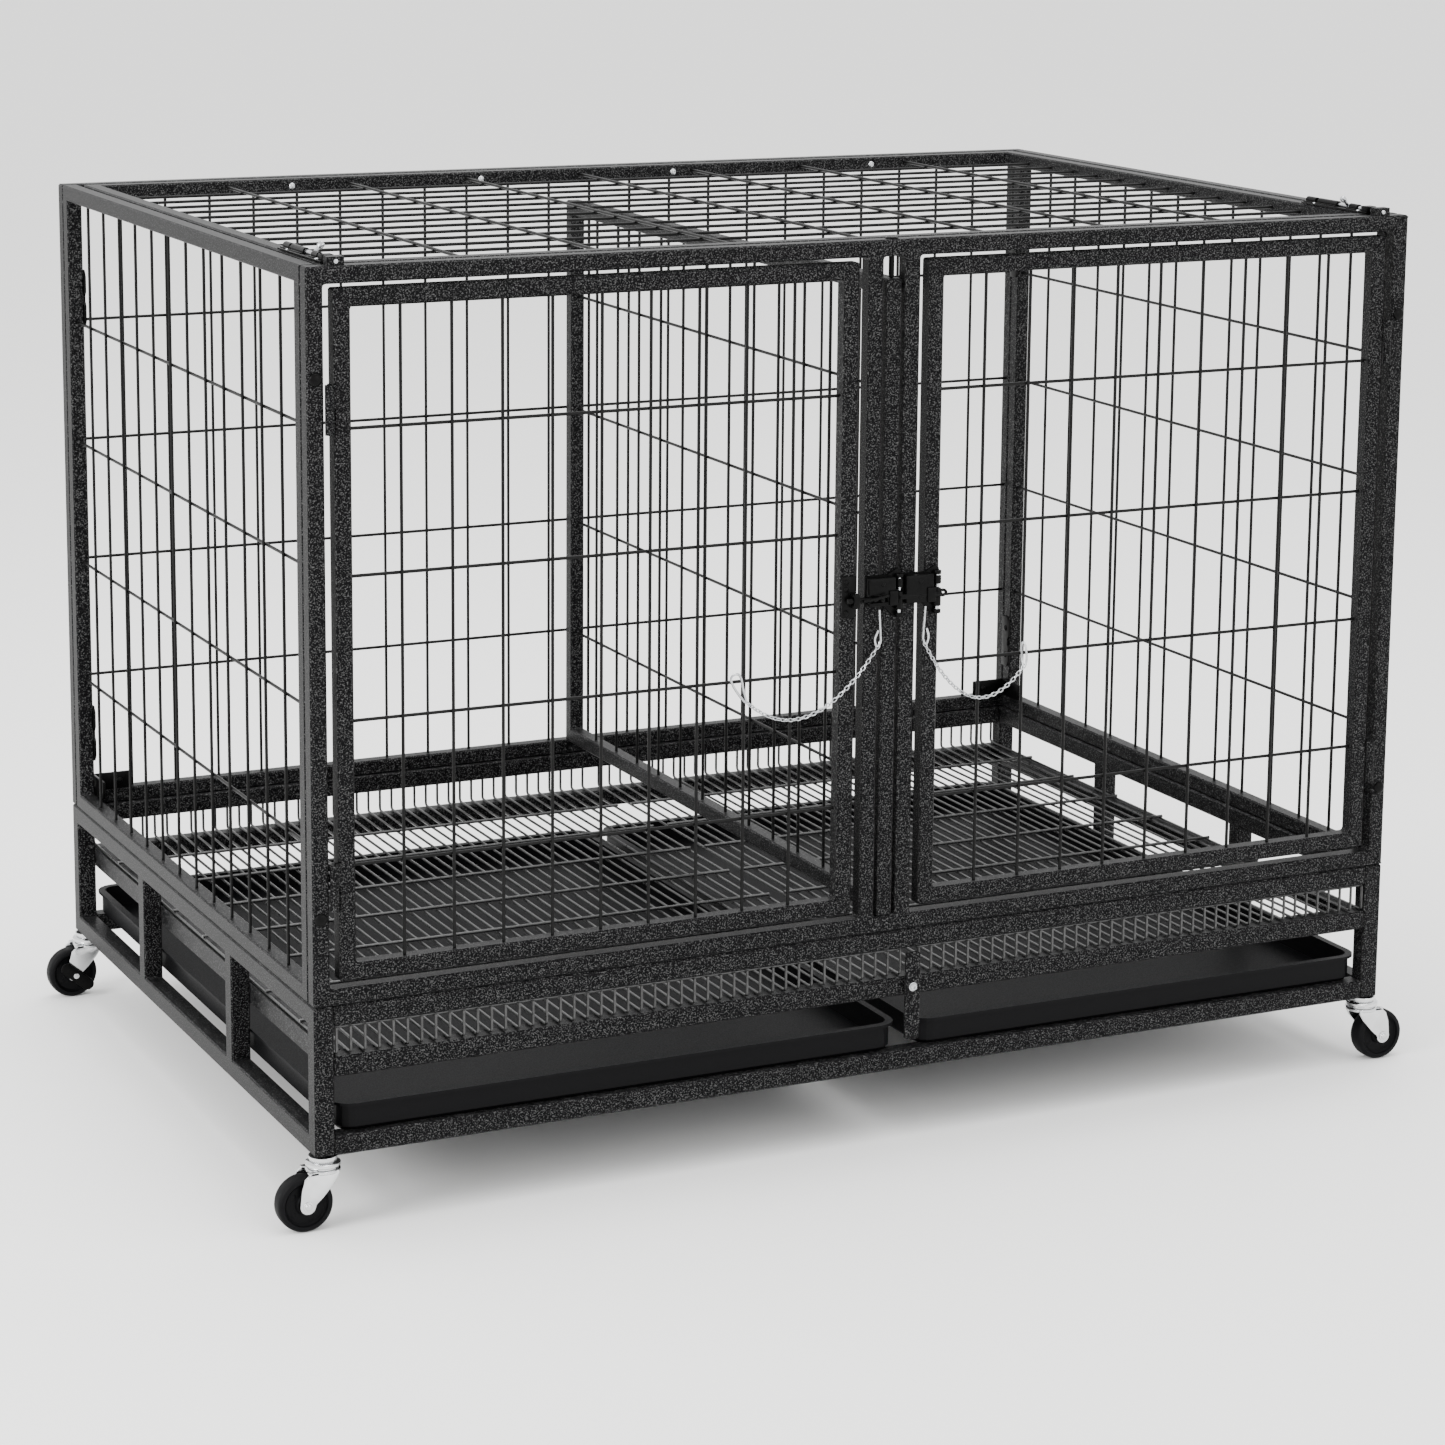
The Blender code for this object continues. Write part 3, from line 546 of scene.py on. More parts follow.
PAINTED_FRAMES = (
    "base_left_end",
    "base_right_end",
    "base_front_bottom_rail",
    "base_front_middle_rail",
    "base_front_top_rail",
    "base_back_bottom_rail",
    "base_back_middle_rail",
    "base_back_top_rail",
    "front_frame",
    "left_panel_frame",
    "right_panel_frame",
    "back_frame",
    "divider_frame",
    "roof_frame",
    "left_door_frame",
    "right_door_frame",
    "left_door_pin_lower",
    "left_door_pin_upper",
    "right_door_pin_lower",
    "right_door_pin_upper",
)


def mitre_weld(bm, outer, toward, y):
    """A ground weld bead on the diagonal of a frame's corner, barely proud of its face."""
    start = Vector((outer[0] + 0.0012 * toward[0], y, outer[1] + 0.0012 * toward[1]))
    end = Vector((outer[0] + (TUBE - 0.0002) * toward[0], y, outer[1] + (TUBE - 0.0002) * toward[1]))
    add_rod(bm, start, end, 0.0009, 8, 0.0004)


def inner_fillet(bm, inner, toward, y):
    """A small weld blob in the inner corner of a frame."""
    size = 0.0028
    outline = [(inner[0], y, inner[1]), (inner[0] + size * toward[0], y, inner[1])]
    outline += [(inner[0] + 0.28 * size * toward[0], y, inner[1] + 0.28 * size * toward[1])]
    outline += [(inner[0], y, inner[1] + size * toward[1])]
    add_plate(bm, outline, (0, TUBE - 0.003, 0))


def welds_of(node_name, body, windows):
    """Mitre beads on a frame's four outer corners and fillets in the corners of its windows."""
    bm = bmesh.new()
    face = FRONT - 0.0001
    left, right = windows[0][0] - TUBE, windows[-1][1] + TUBE
    bottom, top = windows[0][2] - TUBE, windows[0][3] + TUBE
    for x, x_way in ((left, 1), (right, -1)):
        for z, z_way in ((bottom, 1), (top, -1)):
            mitre_weld(bm, (x, z), (x_way, z_way), face)
    for window_left, window_right, window_bottom, window_top in windows:
        for x, x_way in ((window_left, 1), (window_right, -1)):
            for z, z_way in ((window_bottom, 1), (window_top, -1)):
                inner_fillet(bm, (x, z), (x_way, z_way), FRONT + 0.0015)
    piece(node_name + "_welds", bm, "hammertone", body)


def front_windows():
    low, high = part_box("front_frame")
    slot = 0.011
    bottom, top = low.z + TUBE, TOP - TUBE
    return (
        (low.x + TUBE, -slot - TUBE, bottom, top),
        (-slot, slot, bottom, top),
        (slot + TUBE, high.x - TUBE, bottom, top),
    )


def door_window(side_name, side):
    mesh_low, mesh_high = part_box(side_name + "_door_mesh")
    return ((mesh_low.x - CLEAR, mesh_high.x + CLEAR, mesh_low.z - CLEAR, mesh_high.z + CLEAR),)


def panel_screws():
    """Black screws through the front posts, and bright ones at the back and along the roof."""
    bm = bmesh.new()
    for side_name, side in SIDES:
        for z in (0.2785, 0.742):
            add_dome(bm, (side * (HALF_LENGTH - TUBE / 2), FRONT - 0.0001, z), (0, -1, 0), 0.0058, 0.0030, 24)
    piece("front_post_screws", bm, "black_paint", "crate")
    bm = bmesh.new()
    for z in (0.530, 0.672):
        add_dome(bm, (HALF_LENGTH - TUBE / 2, BACK - TUBE + 0.0001, z), (0, -1, 0), 0.0032, 0.0020)
    piece("back_screws", bm, "zinc", "crate")
    bm = bmesh.new()
    low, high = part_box("roof_frame")
    for x in (-0.3175, -0.1115, 0.1077, 0.345):
        add_dome(bm, (x, high.y - TUBE + 0.0001, (low.z + high.z) / 2), (0, -1, 0), 0.0034, 0.0022)
    piece("roof_screws", bm, "zinc", "roof")


def corner_plates():
    """Bent hinge plates that hold the side walls to the back wall."""
    bm = bmesh.new()
    for side_name, side in SIDES:
        x = side * (HALF_LENGTH - TUBE)
        for low, high in ((0.250, 0.307), (0.695, 0.752)):
            middle = (low + high) / 2
            near, far = BACK - 2 * TUBE - 0.002, BACK - TUBE - 0.0015
            outline = [(near + 0.004, low), (far, low), (far, high), (near + 0.004, high)]
            outline += [(near, high - 0.006), (near, middle + 0.007), (near + 0.004, middle + 0.003)]
            outline += [(near + 0.004, middle - 0.003), (near, middle - 0.007), (near, low + 0.006)]
            add_plate(bm, [(x, y, z) for y, z in outline], (-side * 0.0024, 0, 0), 0.0004)
            for z in (low + 0.013, high - 0.013):
                add_dome(bm, (x - side * 0.0023, (near + far) / 2, z), (-side, 0, 0), 0.0034, 0.0018, 16)
    piece("corner_hinge_plates", bm, "black_paint", "crate")


def corner_gussets():
    """Black angle gussets inside the two back corners, at the bottom of the cage."""
    bm = bmesh.new()
    for side_name, side in SIDES:
        x = side * (HALF_LENGTH - TUBE - 0.0005)
        low = BASE_TOP + TUBE + 0.001
        back = BACK - TUBE - 0.0065
        add_box(bm, (x, back, low), (x - side * 0.040, back + 0.003, low + 0.018), 0.0008)
        add_box(bm, (x, back, low), (x - side * 0.003, back - 0.036, low + 0.018), 0.0008)
        add_dome(bm, (x - side * 0.028, back + 0.0001, low + 0.009), (0, -1, 0), 0.0032, 0.0020, 16)
    piece("back_corner_gussets", bm, "black_paint", "crate")


class CRATE_OT_tube_frames(bpy.types.Operator):
    """Paints the tube frames and adds their welds, screws, hinge plates and gussets"""

    bl_idname = "crate.tube_frames"
    bl_label = "Tube frames"

    def execute(self, context):
        for name in PAINTED_FRAMES:
            paint(name, "hammertone")
        welds_of("front_frame", "crate", front_windows())
        for side_name, side in SIDES:
            welds_of(side_name + "_door_frame", side_name + "_door", door_window(side_name, side))
        panel_screws()
        corner_plates()
        corner_gussets()
        return {"FINISHED"}


# Strap


class CRATE_OT_tray_strap(bpy.types.Operator):
    """Builds the turn-button strap that keeps the trays in, and its bolt"""

    bl_idname = "crate.tray_strap"
    bl_label = "Tray strap"

    def execute(self, context):
        low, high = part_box("tray_strap")
        middle = (low.x + high.x) / 2
        bolt_low, bolt_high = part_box("strap_bolt")
        pivot = (bolt_low.z + bolt_high.z) / 2
        bm = bmesh.new()
        rounding = 0.0028
        outline = []
        for x, z, start in (
            (high.x - rounding, high.z - rounding, 0),
            (low.x + rounding, high.z - rounding, 90),
            (low.x + rounding, low.z + rounding, 180),
            (high.x - rounding, low.z + rounding, 270),
        ):
            for i in range(5):
                angle = radians(start + 22.5 * i)
                outline.append((x + rounding * cos(angle), low.y, z + rounding * sin(angle)))
        add_plate(bm, outline, (0, high.y - low.y, 0), 0.0005)
        piece("turn_button_strap", bm, "hammertone", "tray_strap", ("tray_strap",))
        bm = bmesh.new()
        add_rod(bm, (middle, FRONT, pivot), (middle, high.y, pivot), 0.0034, 20)
        add_rod(bm, (middle, low.y, pivot), (middle, low.y - 0.0008, pivot), 0.0042, 28, 0.0003)
        head = [(0, 0), (0.0034, 0), (0.0034, 0.0014), (0.0026, 0.0021), (0.0014, 0.0021)]
        head += [(0.0010, 0.0010), (0, 0.0010)]
        add_lathe(bm, (middle, low.y - 0.0007, pivot), (0, -1, 0), head)
        piece("strap_bolt_head", bm, "zinc", "crate", ("strap_bolt",))
        return {"FINISHED"}


# Casters


def leg_outline(x, y, z, side):
    """A fork leg: wide at the swivel, drawn in to a round end at the axle."""
    trail, end_radius = 0.018, 0.0072
    points = [(-0.0105, 0.0545), (-0.0100, 0.0500), (-0.0060, 0.0430), (0.0040, 0.0320)]
    for i in range(9):
        angle = radians(168 + 24 * i)
        points.append((trail + end_radius * cos(angle), z + end_radius * sin(angle)))
    points += [(0.0236, 0.0400), (0.0205, 0.0490), (0.0140, 0.0545)]
    return [(x + side * u, y, height) for u, height in points]


def swivel_caster(end_name, side_name, side):
    """A chromed swivel caster with ball races over its fork and a solid rubber wheel."""
    name = f"{end_name}_{side_name}_caster"
    body = f"{end_name}_{side_name}_fork"
    stem_low, stem_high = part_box(name + "_stem")
    wheel_low, wheel_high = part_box(name + "_wheel")
    x, y = (stem_low.x + stem_high.x) / 2, (stem_low.y + stem_high.y) / 2
    axle = (wheel_low + wheel_high) / 2
    radius = (wheel_high.z - wheel_low.z) / 2

    bm = bmesh.new()
    top = stem_high.z - 0.0001
    profile = [(0, 0), (0.0125, 0), (0.0128, -0.0008), (0.0124, -0.0030), (0.0112, -0.0034)]
    profile += [(0.0112, -0.0042), (0.0146, -0.0048), (0.0155, -0.0058), (0.0155, -0.0080), (0.0146, -0.0090)]
    add_lathe(bm, (x, y, top), (0, 0, 1), profile + [(0, -0.0090)], 40)
    piece(name + "_race", bm, "chrome", "crate", (name + "_stem",))

    bm = bmesh.new()
    profile = [(0, 0.0562), (0.0132, 0.0562), (0.0132, 0.0552), (0.0148, 0.0548), (0.0155, 0.0540)]
    profile += [(0.0155, 0.0526), (0.0146, 0.0517), (0, 0.0515)]
    add_lathe(bm, (x, y, 0), (0, 0, 1), profile, 40)
    for y_side in (-1, 1):
        flat = leg_outline(x, y + y_side * 0.0106, axle.z, side)
        add_plate(bm, flat, (0, y_side * 0.0024, 0), 0.0005)
        bar_x = x + side * 0.004
        near, far = y + y_side * 0.0130, y + y_side * 0.0080
        add_box(bm, (bar_x - 0.013, near, 0.0517), (bar_x + 0.013, far, 0.0545), 0.0006)
        rivet = (axle.x, y + y_side * 0.0128, axle.z)
        add_rod(bm, rivet, (axle.x, y + y_side * 0.0140, axle.z), 0.0046, 20, 0.0003)
        add_dome(bm, (axle.x, y + y_side * 0.0139, axle.z), (0, y_side, 0), 0.0030, 0.0016, 18)
    if end_name == "back":
        add_rod(bm, (axle.x, y, axle.z), (axle.x, y - 0.0190, axle.z), 0.0030, 16, 0.0004)
    piece(name + "_chrome_fork", bm, "chrome", body, (name + "_fork",))

    bm = bmesh.new()
    half = (wheel_high.y - wheel_low.y) / 2
    outer = [(radius * 0.76, half * 0.80), (radius * 0.80, half * 0.97), (radius * 0.88, half * 0.99)]
    outer += [(radius * 0.96, half * 0.86), (radius * 0.992, half * 0.62), (radius, half * 0.30)]
    tread = outer + [(r, -h) for r, h in reversed(outer)]
    add_lathe(bm, axle, (0, 1, 0), tread, 56, closed=True)
    piece(name + "_tyre", bm, "wheel", f"{end_name}_{side_name}_wheel", (name + "_wheel",))

    bm = bmesh.new()
    inner = [(0.0034, half * 0.98), (0.0078, half * 0.98), (0.0086, half * 0.90), (0.0096, half * 0.66)]
    inner += [(radius * 0.70, half * 0.62), (radius * 0.765, half * 0.78)]
    hub = inner + [(r, -h) for r, h in reversed(inner)]
    add_lathe(bm, axle, (0, 1, 0), hub, 48, closed=True)
    for k in range(5):
        angle = tau * k / 5
        middle = Vector((axle.x + 0.0137 * cos(angle), axle.y, axle.z + 0.0137 * sin(angle)))
        for y_side in (-1, 1):
            add_dome(bm, middle + Vector((0, y_side * half * 0.61, 0)), (0, y_side, 0), 0.0026, 0.0007, 12)
    piece(name + "_hub", bm, "black_plastic", f"{end_name}_{side_name}_wheel")


def side_brake(side_name, side):
    """A pressed side lever on the end of the axle."""
    node_name = side_name + "_brake_lever"
    low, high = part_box(node_name)
    wheel_low, wheel_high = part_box(f"back_{side_name}_caster_wheel")
    axle = (wheel_low + wheel_high) / 2
    slope = radians(-40)
    outline = []
    for middle, start in ((-0.012, 90), (0.016, -90)):
        for i in range(9):
            angle = radians(start + 22.5 * i)
            u, v = middle + 0.0062 * cos(angle), 0.0062 * sin(angle)
            along = u * cos(slope) - v * sin(slope)
            height = u * sin(slope) + v * cos(slope)
            outline.append((axle.x - side * along, low.y, axle.z + height))
    bm = bmesh.new()
    add_plate(bm, outline, (0, high.y - low.y, 0), 0.0005)
    piece(side_name + "_brake_pedal", bm, "black_paint", node_name, (node_name,))


class CRATE_OT_casters(bpy.types.Operator):
    """Builds the four swivel casters and the two side brakes"""

    bl_idname = "crate.casters"
    bl_label = "Casters"

    def execute(self, context):
        for end_name in ("front", "back"):
            for side_name, side in SIDES:
                swivel_caster(end_name, side_name, side)
        for side_name, side in SIDES:
            side_brake(side_name, side)
        return {"FINISHED"}


# Door latches

ROD_Y = FRONT - 0.0075
LATCH_Z = (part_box("left_latch_plate")[0].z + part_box("left_latch_plate")[1].z) / 2


def latch_case(side_name, body):
    """A pressed case on a shaped plate, with a bright pin in its rolled edge; the left has a knob slot."""
    low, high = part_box(side_name + "_latch_plate")
    left, right, z = low.x, high.x, LATCH_Z
    back = high.y
    outline = [(left, z + 0.0205), (right - 0.0140, z + 0.0200), (right - 0.0040, z + 0.0262)]
    outline += [(right - 0.0004, z + 0.0225), (right, z - 0.0185), (right - 0.0085, z - 0.0180)]
    outline += [(right - 0.0175, z - 0.0078), (left, z - 0.0075)]
    bm = bmesh.new()
    add_plate(bm, [(x, back, height) for x, height in outline], (0, -0.0024, 0), 0.0004)
    start, end = left + 0.001, right - 0.0090
    root, face = FRONT - 0.002, FRONT - 0.0098
    top, bottom = z + 0.0190, z - 0.0066
    if side_name == "left":
        slot = 0.0030
        add_box(bm, (start, root, z + slot), (end, face, top), 0.0013, 3)
        add_box(bm, (start, root, bottom), (end, face, z - slot), 0.0008, 3)
        for near, far in ((start, -0.0245), (-0.0070, end)):
            add_box(bm, (near, root, z - 0.0045), (far, face + 0.0004, z + 0.0045))
    else:
        add_box(bm, (start, root, bottom), (end, face, top), 0.0013, 3)
    add_box(bm, (right - 0.0160, root, bottom), (right - 0.0075, FRONT - 0.0116, z + 0.0070), 0.0010, 3)
    roll = (right - 0.0036, FRONT - 0.0052)
    for start, end in ((z + 0.0090, z + 0.0165), (z - 0.0115, z + 0.0050)):
        add_rod(bm, (*roll, start), (*roll, end), 0.0036, 20, 0.0006)
    for height in (z + 0.0195, z - 0.0165):
        add_rod(bm, (*roll, height - 0.0018), (*roll, height + 0.0018), 0.0036, 20, 0.0006)
    for height in (z + 0.0135, z - 0.0010):
        add_dome(bm, (left + 0.0150, FRONT - 0.0097, height), (0, -1, 0), 0.0022, 0.0010, 18)
    piece(side_name + "_latch_case", bm, "black_paint", body, (side_name + "_latch_plate",))

    bm = bmesh.new()
    for start, end in ((z + 0.0060, z + 0.0192), (z - 0.0180, z - 0.0100)):
        add_rod(bm, (*roll, start), (*roll, end), 0.0017, 12)
    piece(side_name + "_latch_pins", bm, "zinc", body)


def left_bolt_and_bracket():
    """The left slide bolt with its lever, and the bracket on the door that its tip enters."""
    low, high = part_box("left_latch_bolt")
    z = LATCH_Z
    bm = bmesh.new()
    add_rod(bm, (low.x, ROD_Y, z), (high.x, ROD_Y, z), 0.0027, 20, 0.0008)
    add_rod(bm, (-0.0220, ROD_Y, z), (-0.0220, low.y + 0.0004, z + 0.0004), 0.0018, 16, 0.0005)
    lever = ((-0.0335, FRONT - 0.0126, z + 0.0002), (-0.0220, FRONT - 0.0130, z + 0.0010))
    lever += ((-0.0080, FRONT - 0.0130, z + 0.0034),)
    add_tube(bm, rounded_path(lever, 0.006), 0.0013, 10)
    piece("left_slide_bolt", bm, "black_paint", "left_latch_bolt", ("left_latch_bolt",))

    low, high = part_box("left_latch_bracket")
    bm = bmesh.new()
    add_box(bm, (low.x, high.y, z - 0.0165), (high.x, high.y - 0.0020, z + 0.0215), 0.0009)
    for z_side in (-1, 1):
        post = (-0.0420, FRONT - 0.001, z + z_side * 0.0034)
        add_box(bm, post, (-0.0364, FRONT - 0.0112, z + z_side * 0.0066), 0.0007)
    add_box(bm, (-0.0420, FRONT - 0.0104, z - 0.0066), (-0.0364, FRONT - 0.0120, z + 0.0066), 0.0006)
    for height in (z - 0.0115, z + 0.0100, z + 0.0165):
        add_dome(bm, (-0.0455, FRONT - 0.0022, height), (0, -1, 0), 0.0026, 0.0018, 18)
    piece("left_bolt_bracket", bm, "black_paint", "left_door", ("left_latch_bracket",))


def right_bolt():
    """The right slide bolt, with a pull ring at its far end."""
    low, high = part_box("right_latch_bolt")
    z = LATCH_Z
    bm = bmesh.new()
    add_rod(bm, (low.x, ROD_Y, z), (high.x - 0.0070, ROD_Y, z), 0.0027, 20, 0.0008)
    ring = []
    for i in range(24):
        angle = tau * i / 24
        ring.append((high.x - 0.0049 + 0.0034 * cos(angle), ROD_Y, z + 0.0006 + 0.0024 * sin(angle)))
    add_tube(bm, ring, 0.0014, 10, loop=True)
    add_rod(bm, (high.x - 0.0095, ROD_Y, z), (high.x - 0.0062, ROD_Y, z + 0.0010), 0.0020, 14, 0.0005)
    piece("right_slide_bolt", bm, "black_paint", "right_latch_bolt", ("right_latch_bolt",))


class CRATE_OT_door_latches(bpy.types.Operator):
    """Builds the two door latches with their slide bolts and the left door's bracket"""

    bl_idname = "crate.door_latches"
    bl_label = "Door latches"

    def execute(self, context):
        latch_case("left", "crate")
        latch_case("right", "right_door")
        left_bolt_and_bracket()
        right_bolt()
        return {"FINISHED"}


# Roof bolts


def roof_bolt(side_name, side):
    """A long barrel bolt on the roof: riveted plate, rolled barrel, front guide and leaning knob."""
    low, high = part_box(side_name + "_roof_bolt_housing")
    bolt_low, bolt_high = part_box(side_name + "_roof_bolt")
    x = (low.x + high.x) / 2
    rod_z = high.z - 0.0034
    plate_top = low.z + 0.0016

    bm = bmesh.new()
    add_box(bm, (low.x, low.y, low.z), (high.x, high.y, plate_top), 0.0004)
    for start, end in ((-0.2520, -0.2365), (-0.2880, -0.2560), (-0.3215, -0.3080)):
        add_lathe_tube(bm, (x, start, rod_z), (x, end, rod_z), 0.0034, 0.0024)
        for x_side in (-1, 1):
            foot = (x + x_side * 0.0030, start - 0.0005, plate_top - 0.0004)
            add_box(bm, foot, (x + x_side * 0.0056, end + 0.0005, plate_top + 0.0010), 0.0003)
    for near, far in ((x - 0.0052, x - 0.0026), (x + 0.0026, x + 0.0052)):
        add_box(bm, (near, low.y + 0.0008, plate_top - 0.0004), (far, low.y + 0.0112, high.z), 0.0004)
    add_box(bm, (x - 0.0052, low.y + 0.0008, rod_z + 0.0023), (x + 0.0052, low.y + 0.0112, high.z), 0.0005)
    piece(side_name + "_bolt_barrel", bm, "black_paint", "roof", (side_name + "_roof_bolt_housing",))

    bm = bmesh.new()
    for y in (-0.2540, -0.3265):
        for x_side in (-1, 1):
            add_dome(bm, (x + x_side * 0.0050, y, plate_top - 0.0001), (0, 0, 1), 0.0018, 0.0010, 14)
    piece(side_name + "_barrel_rivets", bm, "zinc", "roof")

    bm = bmesh.new()
    add_rod(bm, (x, bolt_low.y, rod_z), (x, bolt_high.y, rod_z), 0.0021, 20, 0.0007)
    knob_y = -0.3045
    foot = Vector((x, knob_y, rod_z))
    lean = Vector((-side * 0.7071, 0, 0.7071))
    add_rod(bm, foot, foot + lean * 0.0090, 0.0016, 16)
    profile = [(0, 0.0070), (0.0022, 0.0072), (0.0029, 0.0084), (0.0030, 0.0112)]
    profile += [(0.0025, 0.0125), (0.0012, 0.0130), (0, 0.0131)]
    add_lathe(bm, foot, lean, profile, 20)
    piece(side_name + "_bolt_rod", bm, "zinc", side_name + "_roof_bolt", (side_name + "_roof_bolt",))


def add_lathe_tube(bm, start, end, outer, bore):
    """A short open tube."""
    start, end = Vector(start), Vector(end)
    reach = (end - start).length
    soft = 0.0003
    profile = [(bore, 0), (outer - soft, 0), (outer, soft)]
    profile += [(outer, reach - soft), (outer - soft, reach), (bore, reach)]
    add_lathe(bm, start, end - start, profile, 24, closed=True)


def divider_bolt():
    """The bolt that drops through the front rail into the divider."""
    low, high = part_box("divider_bolt")
    x, y = (low.x + high.x) / 2, (low.y + high.y) / 2
    bm = bmesh.new()
    seat = TOP + CLEAR
    profile = [(0, high.z), (0.0034, high.z), (0.0044, high.z - 0.0007), (0.0046, high.z - 0.0016)]
    profile += [(0.0046, seat + 0.0014), (0.0032, seat + 0.0011)]
    profile += [(0.0058, seat + 0.0010), (0.0060, seat + 0.0006)]
    profile += [(0.0060, seat), (0.0025, seat), (0.0025, low.z + 0.0008), (0.0018, low.z), (0, low.z)]
    add_lathe(bm, (x, y, 0), (0, 0, 1), profile, 28)
    piece("divider_drop_bolt", bm, "black_paint", "divider", ("divider_bolt",))


class CRATE_OT_roof_bolts(bpy.types.Operator):
    """Builds the two slide bolts that hold the roof down, and the divider's bolt"""

    bl_idname = "crate.roof_bolts"
    bl_label = "Roof bolts"

    def execute(self, context):
        for side_name, side in SIDES:
            roof_bolt(side_name, side)
        divider_bolt()
        return {"FINISHED"}


# Chains

CHAIN_DEPTH = FRONT - 0.0055
# side, pin's top, pin's foot, lowest point and far end, as x and z
CHAIN_ROUTES = (
    ("left", (-0.0135, 0.5035), (-0.0128, 0.4720), (-0.0990, 0.4105), (-0.1440, 0.4300)),
    ("right", (0.0335, 0.5030), (0.0325, 0.4700), (0.0950, 0.4125), (0.1375, 0.4375)),
)


def sagging(start, low, end, steps):
    """A hanging line: two half parabolas that meet level at the lowest point."""
    points = []
    for i in range(steps + 1):
        part_way = 1 - i / steps
        points.append((low[0] + (start[0] - low[0]) * part_way, low[1] + (start[1] - low[1]) * part_way**2))
    for i in range(1, steps + 1):
        part_way = i / steps
        points.append((low[0] + (end[0] - low[0]) * part_way, low[1] + (end[1] - low[1]) * part_way**2))
    return [Vector((x, CHAIN_DEPTH, z)) for x, z in points]


def along_line(points, pitch):
    """Places at an even pitch along a line, each with its direction."""
    places = []
    left_over = 0.0
    for start, end in zip(points, points[1:]):
        step = end - start
        reach = step.length
        at = left_over
        while at < reach:
            places.append((start + step * (at / reach), step.normalized()))
            at += pitch
        left_over = at - reach
    return places


def add_link(bm, centre, along, roll, sizes):
    """One oval chain link, turned about the chain's line."""
    across = Vector((0, 1, 0)).cross(along).normalized()
    side = Matrix.Rotation(roll, 3, along) @ across
    radius = sizes.chain_wire / 2
    half_width = sizes.link_width / 2 - radius
    half_straight = sizes.link_length / 2 - radius - half_width
    points = []
    for end_way in (1, -1):
        for i in range(5):
            angle = -pi / 2 + pi * i / 4
            u = end_way * (half_straight + half_width * cos(angle))
            v = end_way * half_width * sin(angle)
            points.append(centre + along * u + side * v)
    add_tube(bm, points, radius, 6, loop=True)


def safety_chain(side_name, pin_top, pin_foot, lowest, far_end, sizes):
    """A twisted-link chain from a locking pin to a snap hook on the door's wire."""
    line = sagging(pin_foot, lowest, far_end, 60)
    line[0] = line[0] + Vector((0, 0, 0.001))
    pitch = sizes.link_length - 2 * sizes.chain_wire + 0.0003
    bm = bmesh.new()
    for i, (centre, along) in enumerate(along_line(line, pitch)):
        add_link(bm, centre, along, radians(45 if i % 2 else -45), sizes)
    y = CHAIN_DEPTH
    foot_x, foot_z = pin_foot
    lean = 1 if side_name == "right" else -1
    hook = [(pin_top[0], y, pin_top[1]), (foot_x - lean * 0.0012, y, foot_z + 0.001)]
    hook += [(foot_x + lean * 0.0030, y, foot_z - 0.0032), (foot_x + lean * 0.0052, y, foot_z + 0.005)]
    hook += [(foot_x + lean * 0.0020, y - 0.0012, foot_z + 0.013)]
    add_tube(bm, rounded_path(hook, 0.003), 0.0011, 8)
    end_x, end_z = far_end
    if side_name == "left":
        loop = [(end_x + 0.0010, -0.003), (end_x - 0.0035, 0.010), (end_x - 0.0065, 0.0265)]
        loop += [(end_x - 0.0130, 0.0275), (end_x - 0.0175, 0.0230), (end_x - 0.0100, 0.0100)]
        path = [Vector((lx, y + 0.0012, end_z + lz)) for lx, lz in loop]
        add_tube(bm, smooth_loop(path), 0.0011, 8, loop=True)
    else:
        loop = [(-0.0015, 0.0034, 0.0225), (0.002, 0.001, 0.0220)]
        loop += [(0.0030, -0.0012, 0.004), (-0.0010, 0, -0.003)]
        path = [Vector((end_x + lx, y + ly, end_z + lz)) for lx, ly, lz in loop]
        add_tube(bm, smooth_loop(path), 0.0010, 8, loop=True)
    piece(side_name + "_safety_chain", bm, "zinc", side_name + "_door", (side_name + "_chain",))


def smooth_loop(points, steps=5):
    """A closed path rounded through the middles of its sides."""
    count = len(points)
    path = []
    for i, corner in enumerate(points):
        start = (points[i - 1] + corner) / 2
        end = (corner + points[(i + 1) % count]) / 2
        for k in range(steps):
            t = k / steps
            path.append(start * (1 - t) ** 2 + corner * 2 * t * (1 - t) + end * t**2)
    return path


class CRATE_OT_safety_chains(bpy.types.Operator):
    """Builds the two safety chains with their locking pins and hooks"""

    bl_idname = "crate.safety_chains"
    bl_label = "Safety chains"

    def execute(self, context):
        for route in CHAIN_ROUTES:
            safety_chain(*route, context.scene.crate_sizes)
        return {"FINISHED"}


# Stage


def look_from(turn_matrix, offset, focal, shift):
    """A camera from a fitted rotation and offset. Focal length and shift are in widths of the picture."""
    camera_data = bpy.data.cameras.new("studio_camera")
    camera_data.sensor_width = 36
    camera_data.lens = focal * 36
    camera_data.shift_x, camera_data.shift_y = shift
    camera_data.clip_end = 50
    camera = bpy.data.objects.new("studio_camera", camera_data)
    bpy.context.scene.collection.objects.link(camera)
    back = turn_matrix.transposed()
    place = -(back @ Vector(offset))
    columns = Matrix((back.col[0], -back.col[1], -back.col[2])).transposed()
    camera.matrix_world = Matrix.Translation(place) @ columns.to_4x4()
    bpy.context.scene.camera = camera


def soft_light(name, place, target, size, power):
    light_data = bpy.data.lights.new(name, "AREA")
    light_data.shape = "SQUARE"
    light_data.size = size
    light_data.energy = power
    light = bpy.data.objects.new(name, light_data)
    bpy.context.scene.collection.objects.link(light)
    light.location = place
    light.rotation_euler = (Vector(target) - Vector(place)).to_track_quat("-Z", "Y").to_euler()


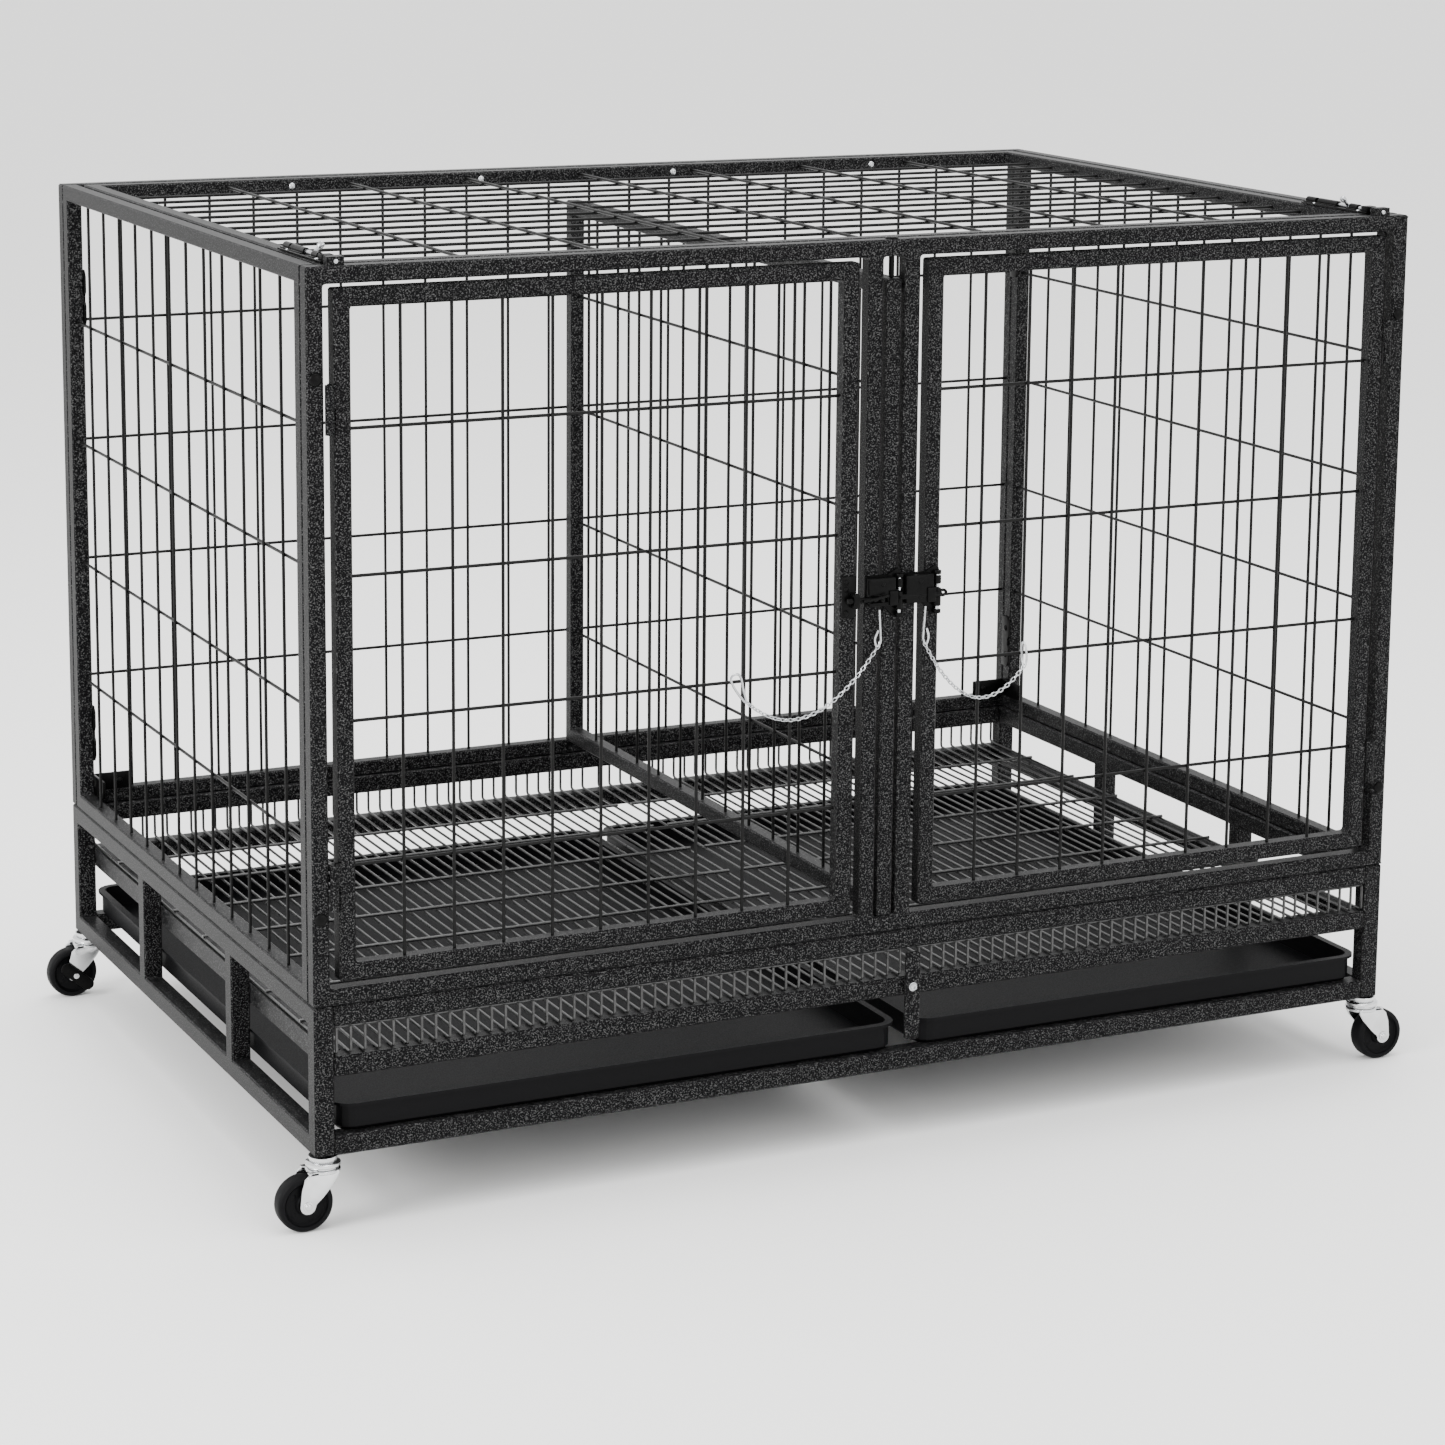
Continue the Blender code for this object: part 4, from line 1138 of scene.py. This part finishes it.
class CRATE_OT_studio(bpy.types.Operator):
    """Sets the pale floor, the soft lights and the camera"""

    bl_idname = "crate.studio"
    bl_label = "Studio"

    def execute(self, context):
        bm = bmesh.new()
        bmesh.ops.create_grid(bm, x_segments=1, y_segments=1, size=30)
        mesh = bpy.data.meshes.new("studio_floor")
        bm.to_mesh(mesh)
        bm.free()
        mesh.materials.append(finish_of("floor"))
        floor = bpy.data.objects.new("studio_floor", mesh)
        context.scene.collection.objects.link(floor)

        world = bpy.data.worlds.new("studio_white")
        world.use_nodes = True
        background = world.node_tree.nodes["Background"]
        background.inputs["Color"].default_value = (1, 1, 1, 1)
        background.inputs["Strength"].default_value = 1.9
        context.scene.world = world

        target = (0, 0, 0.4)
        soft_light("left_softbox", (-3.2, -0.8, 1.9), target, 1.6, 120)
        soft_light("top_softbox", (0.3, 0.2, 3.4), target, 2.4, 100)
        soft_light("front_softbox", (1.2, -3.4, 1.6), target, 1.8, 30)

        yaw, pitch, roll = 0.4488, 1.7541, 0.0087
        look_from(camera_turn(yaw, pitch, roll), (-0.0109, 0.5307, 3.8061), 3771.8044 / 1445, (0.0, -0.154))
        return {"FINISHED"}


def camera_turn(yaw, pitch, roll):
    """World to camera: a turn about the vertical, then a tilt, then a roll."""
    about_up = Matrix(((cos(yaw), -sin(yaw), 0), (sin(yaw), cos(yaw), 0), (0, 0, 1)))
    tilt = Matrix(((1, 0, 0), (0, cos(pitch), -sin(pitch)), (0, sin(pitch), cos(pitch))))
    lean = Matrix(((cos(roll), -sin(roll), 0), (sin(roll), cos(roll), 0), (0, 0, 1)))
    return lean @ tilt @ about_up


class CRATE_PT_sidebar(bpy.types.Panel):
    """Lists the crate's pieces, sizes and colours"""

    bl_idname = "CRATE_PT_sidebar"
    bl_label = "Wire dog crate"
    bl_space_type = "VIEW_3D"
    bl_region_type = "UI"
    bl_category = "Dog crate"

    def draw(self, context):
        column = self.layout.column()
        for operator in OPERATORS:
            column.operator(operator.bl_idname)
        for group in (context.scene.crate_sizes, context.scene.crate_colours):
            for name in group.__annotations__:
                column.prop(group, name)


OPERATORS = (
    CRATE_OT_tube_frames,
    CRATE_OT_wire_panels,
    CRATE_OT_floor,
    CRATE_OT_tray_strap,
    CRATE_OT_casters,
    CRATE_OT_door_latches,
    CRATE_OT_roof_bolts,
    CRATE_OT_safety_chains,
    CRATE_OT_studio,
)
CLASSES = (CrateSizes, CrateColours, *OPERATORS, CRATE_PT_sidebar)


def register():
    for cls in CLASSES:
        bpy.utils.register_class(cls)
    bpy.types.Scene.crate_sizes = PointerProperty(type=CrateSizes)
    bpy.types.Scene.crate_colours = PointerProperty(type=CrateColours)


def unregister():
    del bpy.types.Scene.crate_colours
    del bpy.types.Scene.crate_sizes
    for cls in reversed(CLASSES):
        bpy.utils.unregister_class(cls)


def main():
    register()
    for operator in OPERATORS:
        call = getattr(bpy.ops.crate, operator.bl_idname.split(".")[1])
        call()


if __name__ == "__main__":
    main()
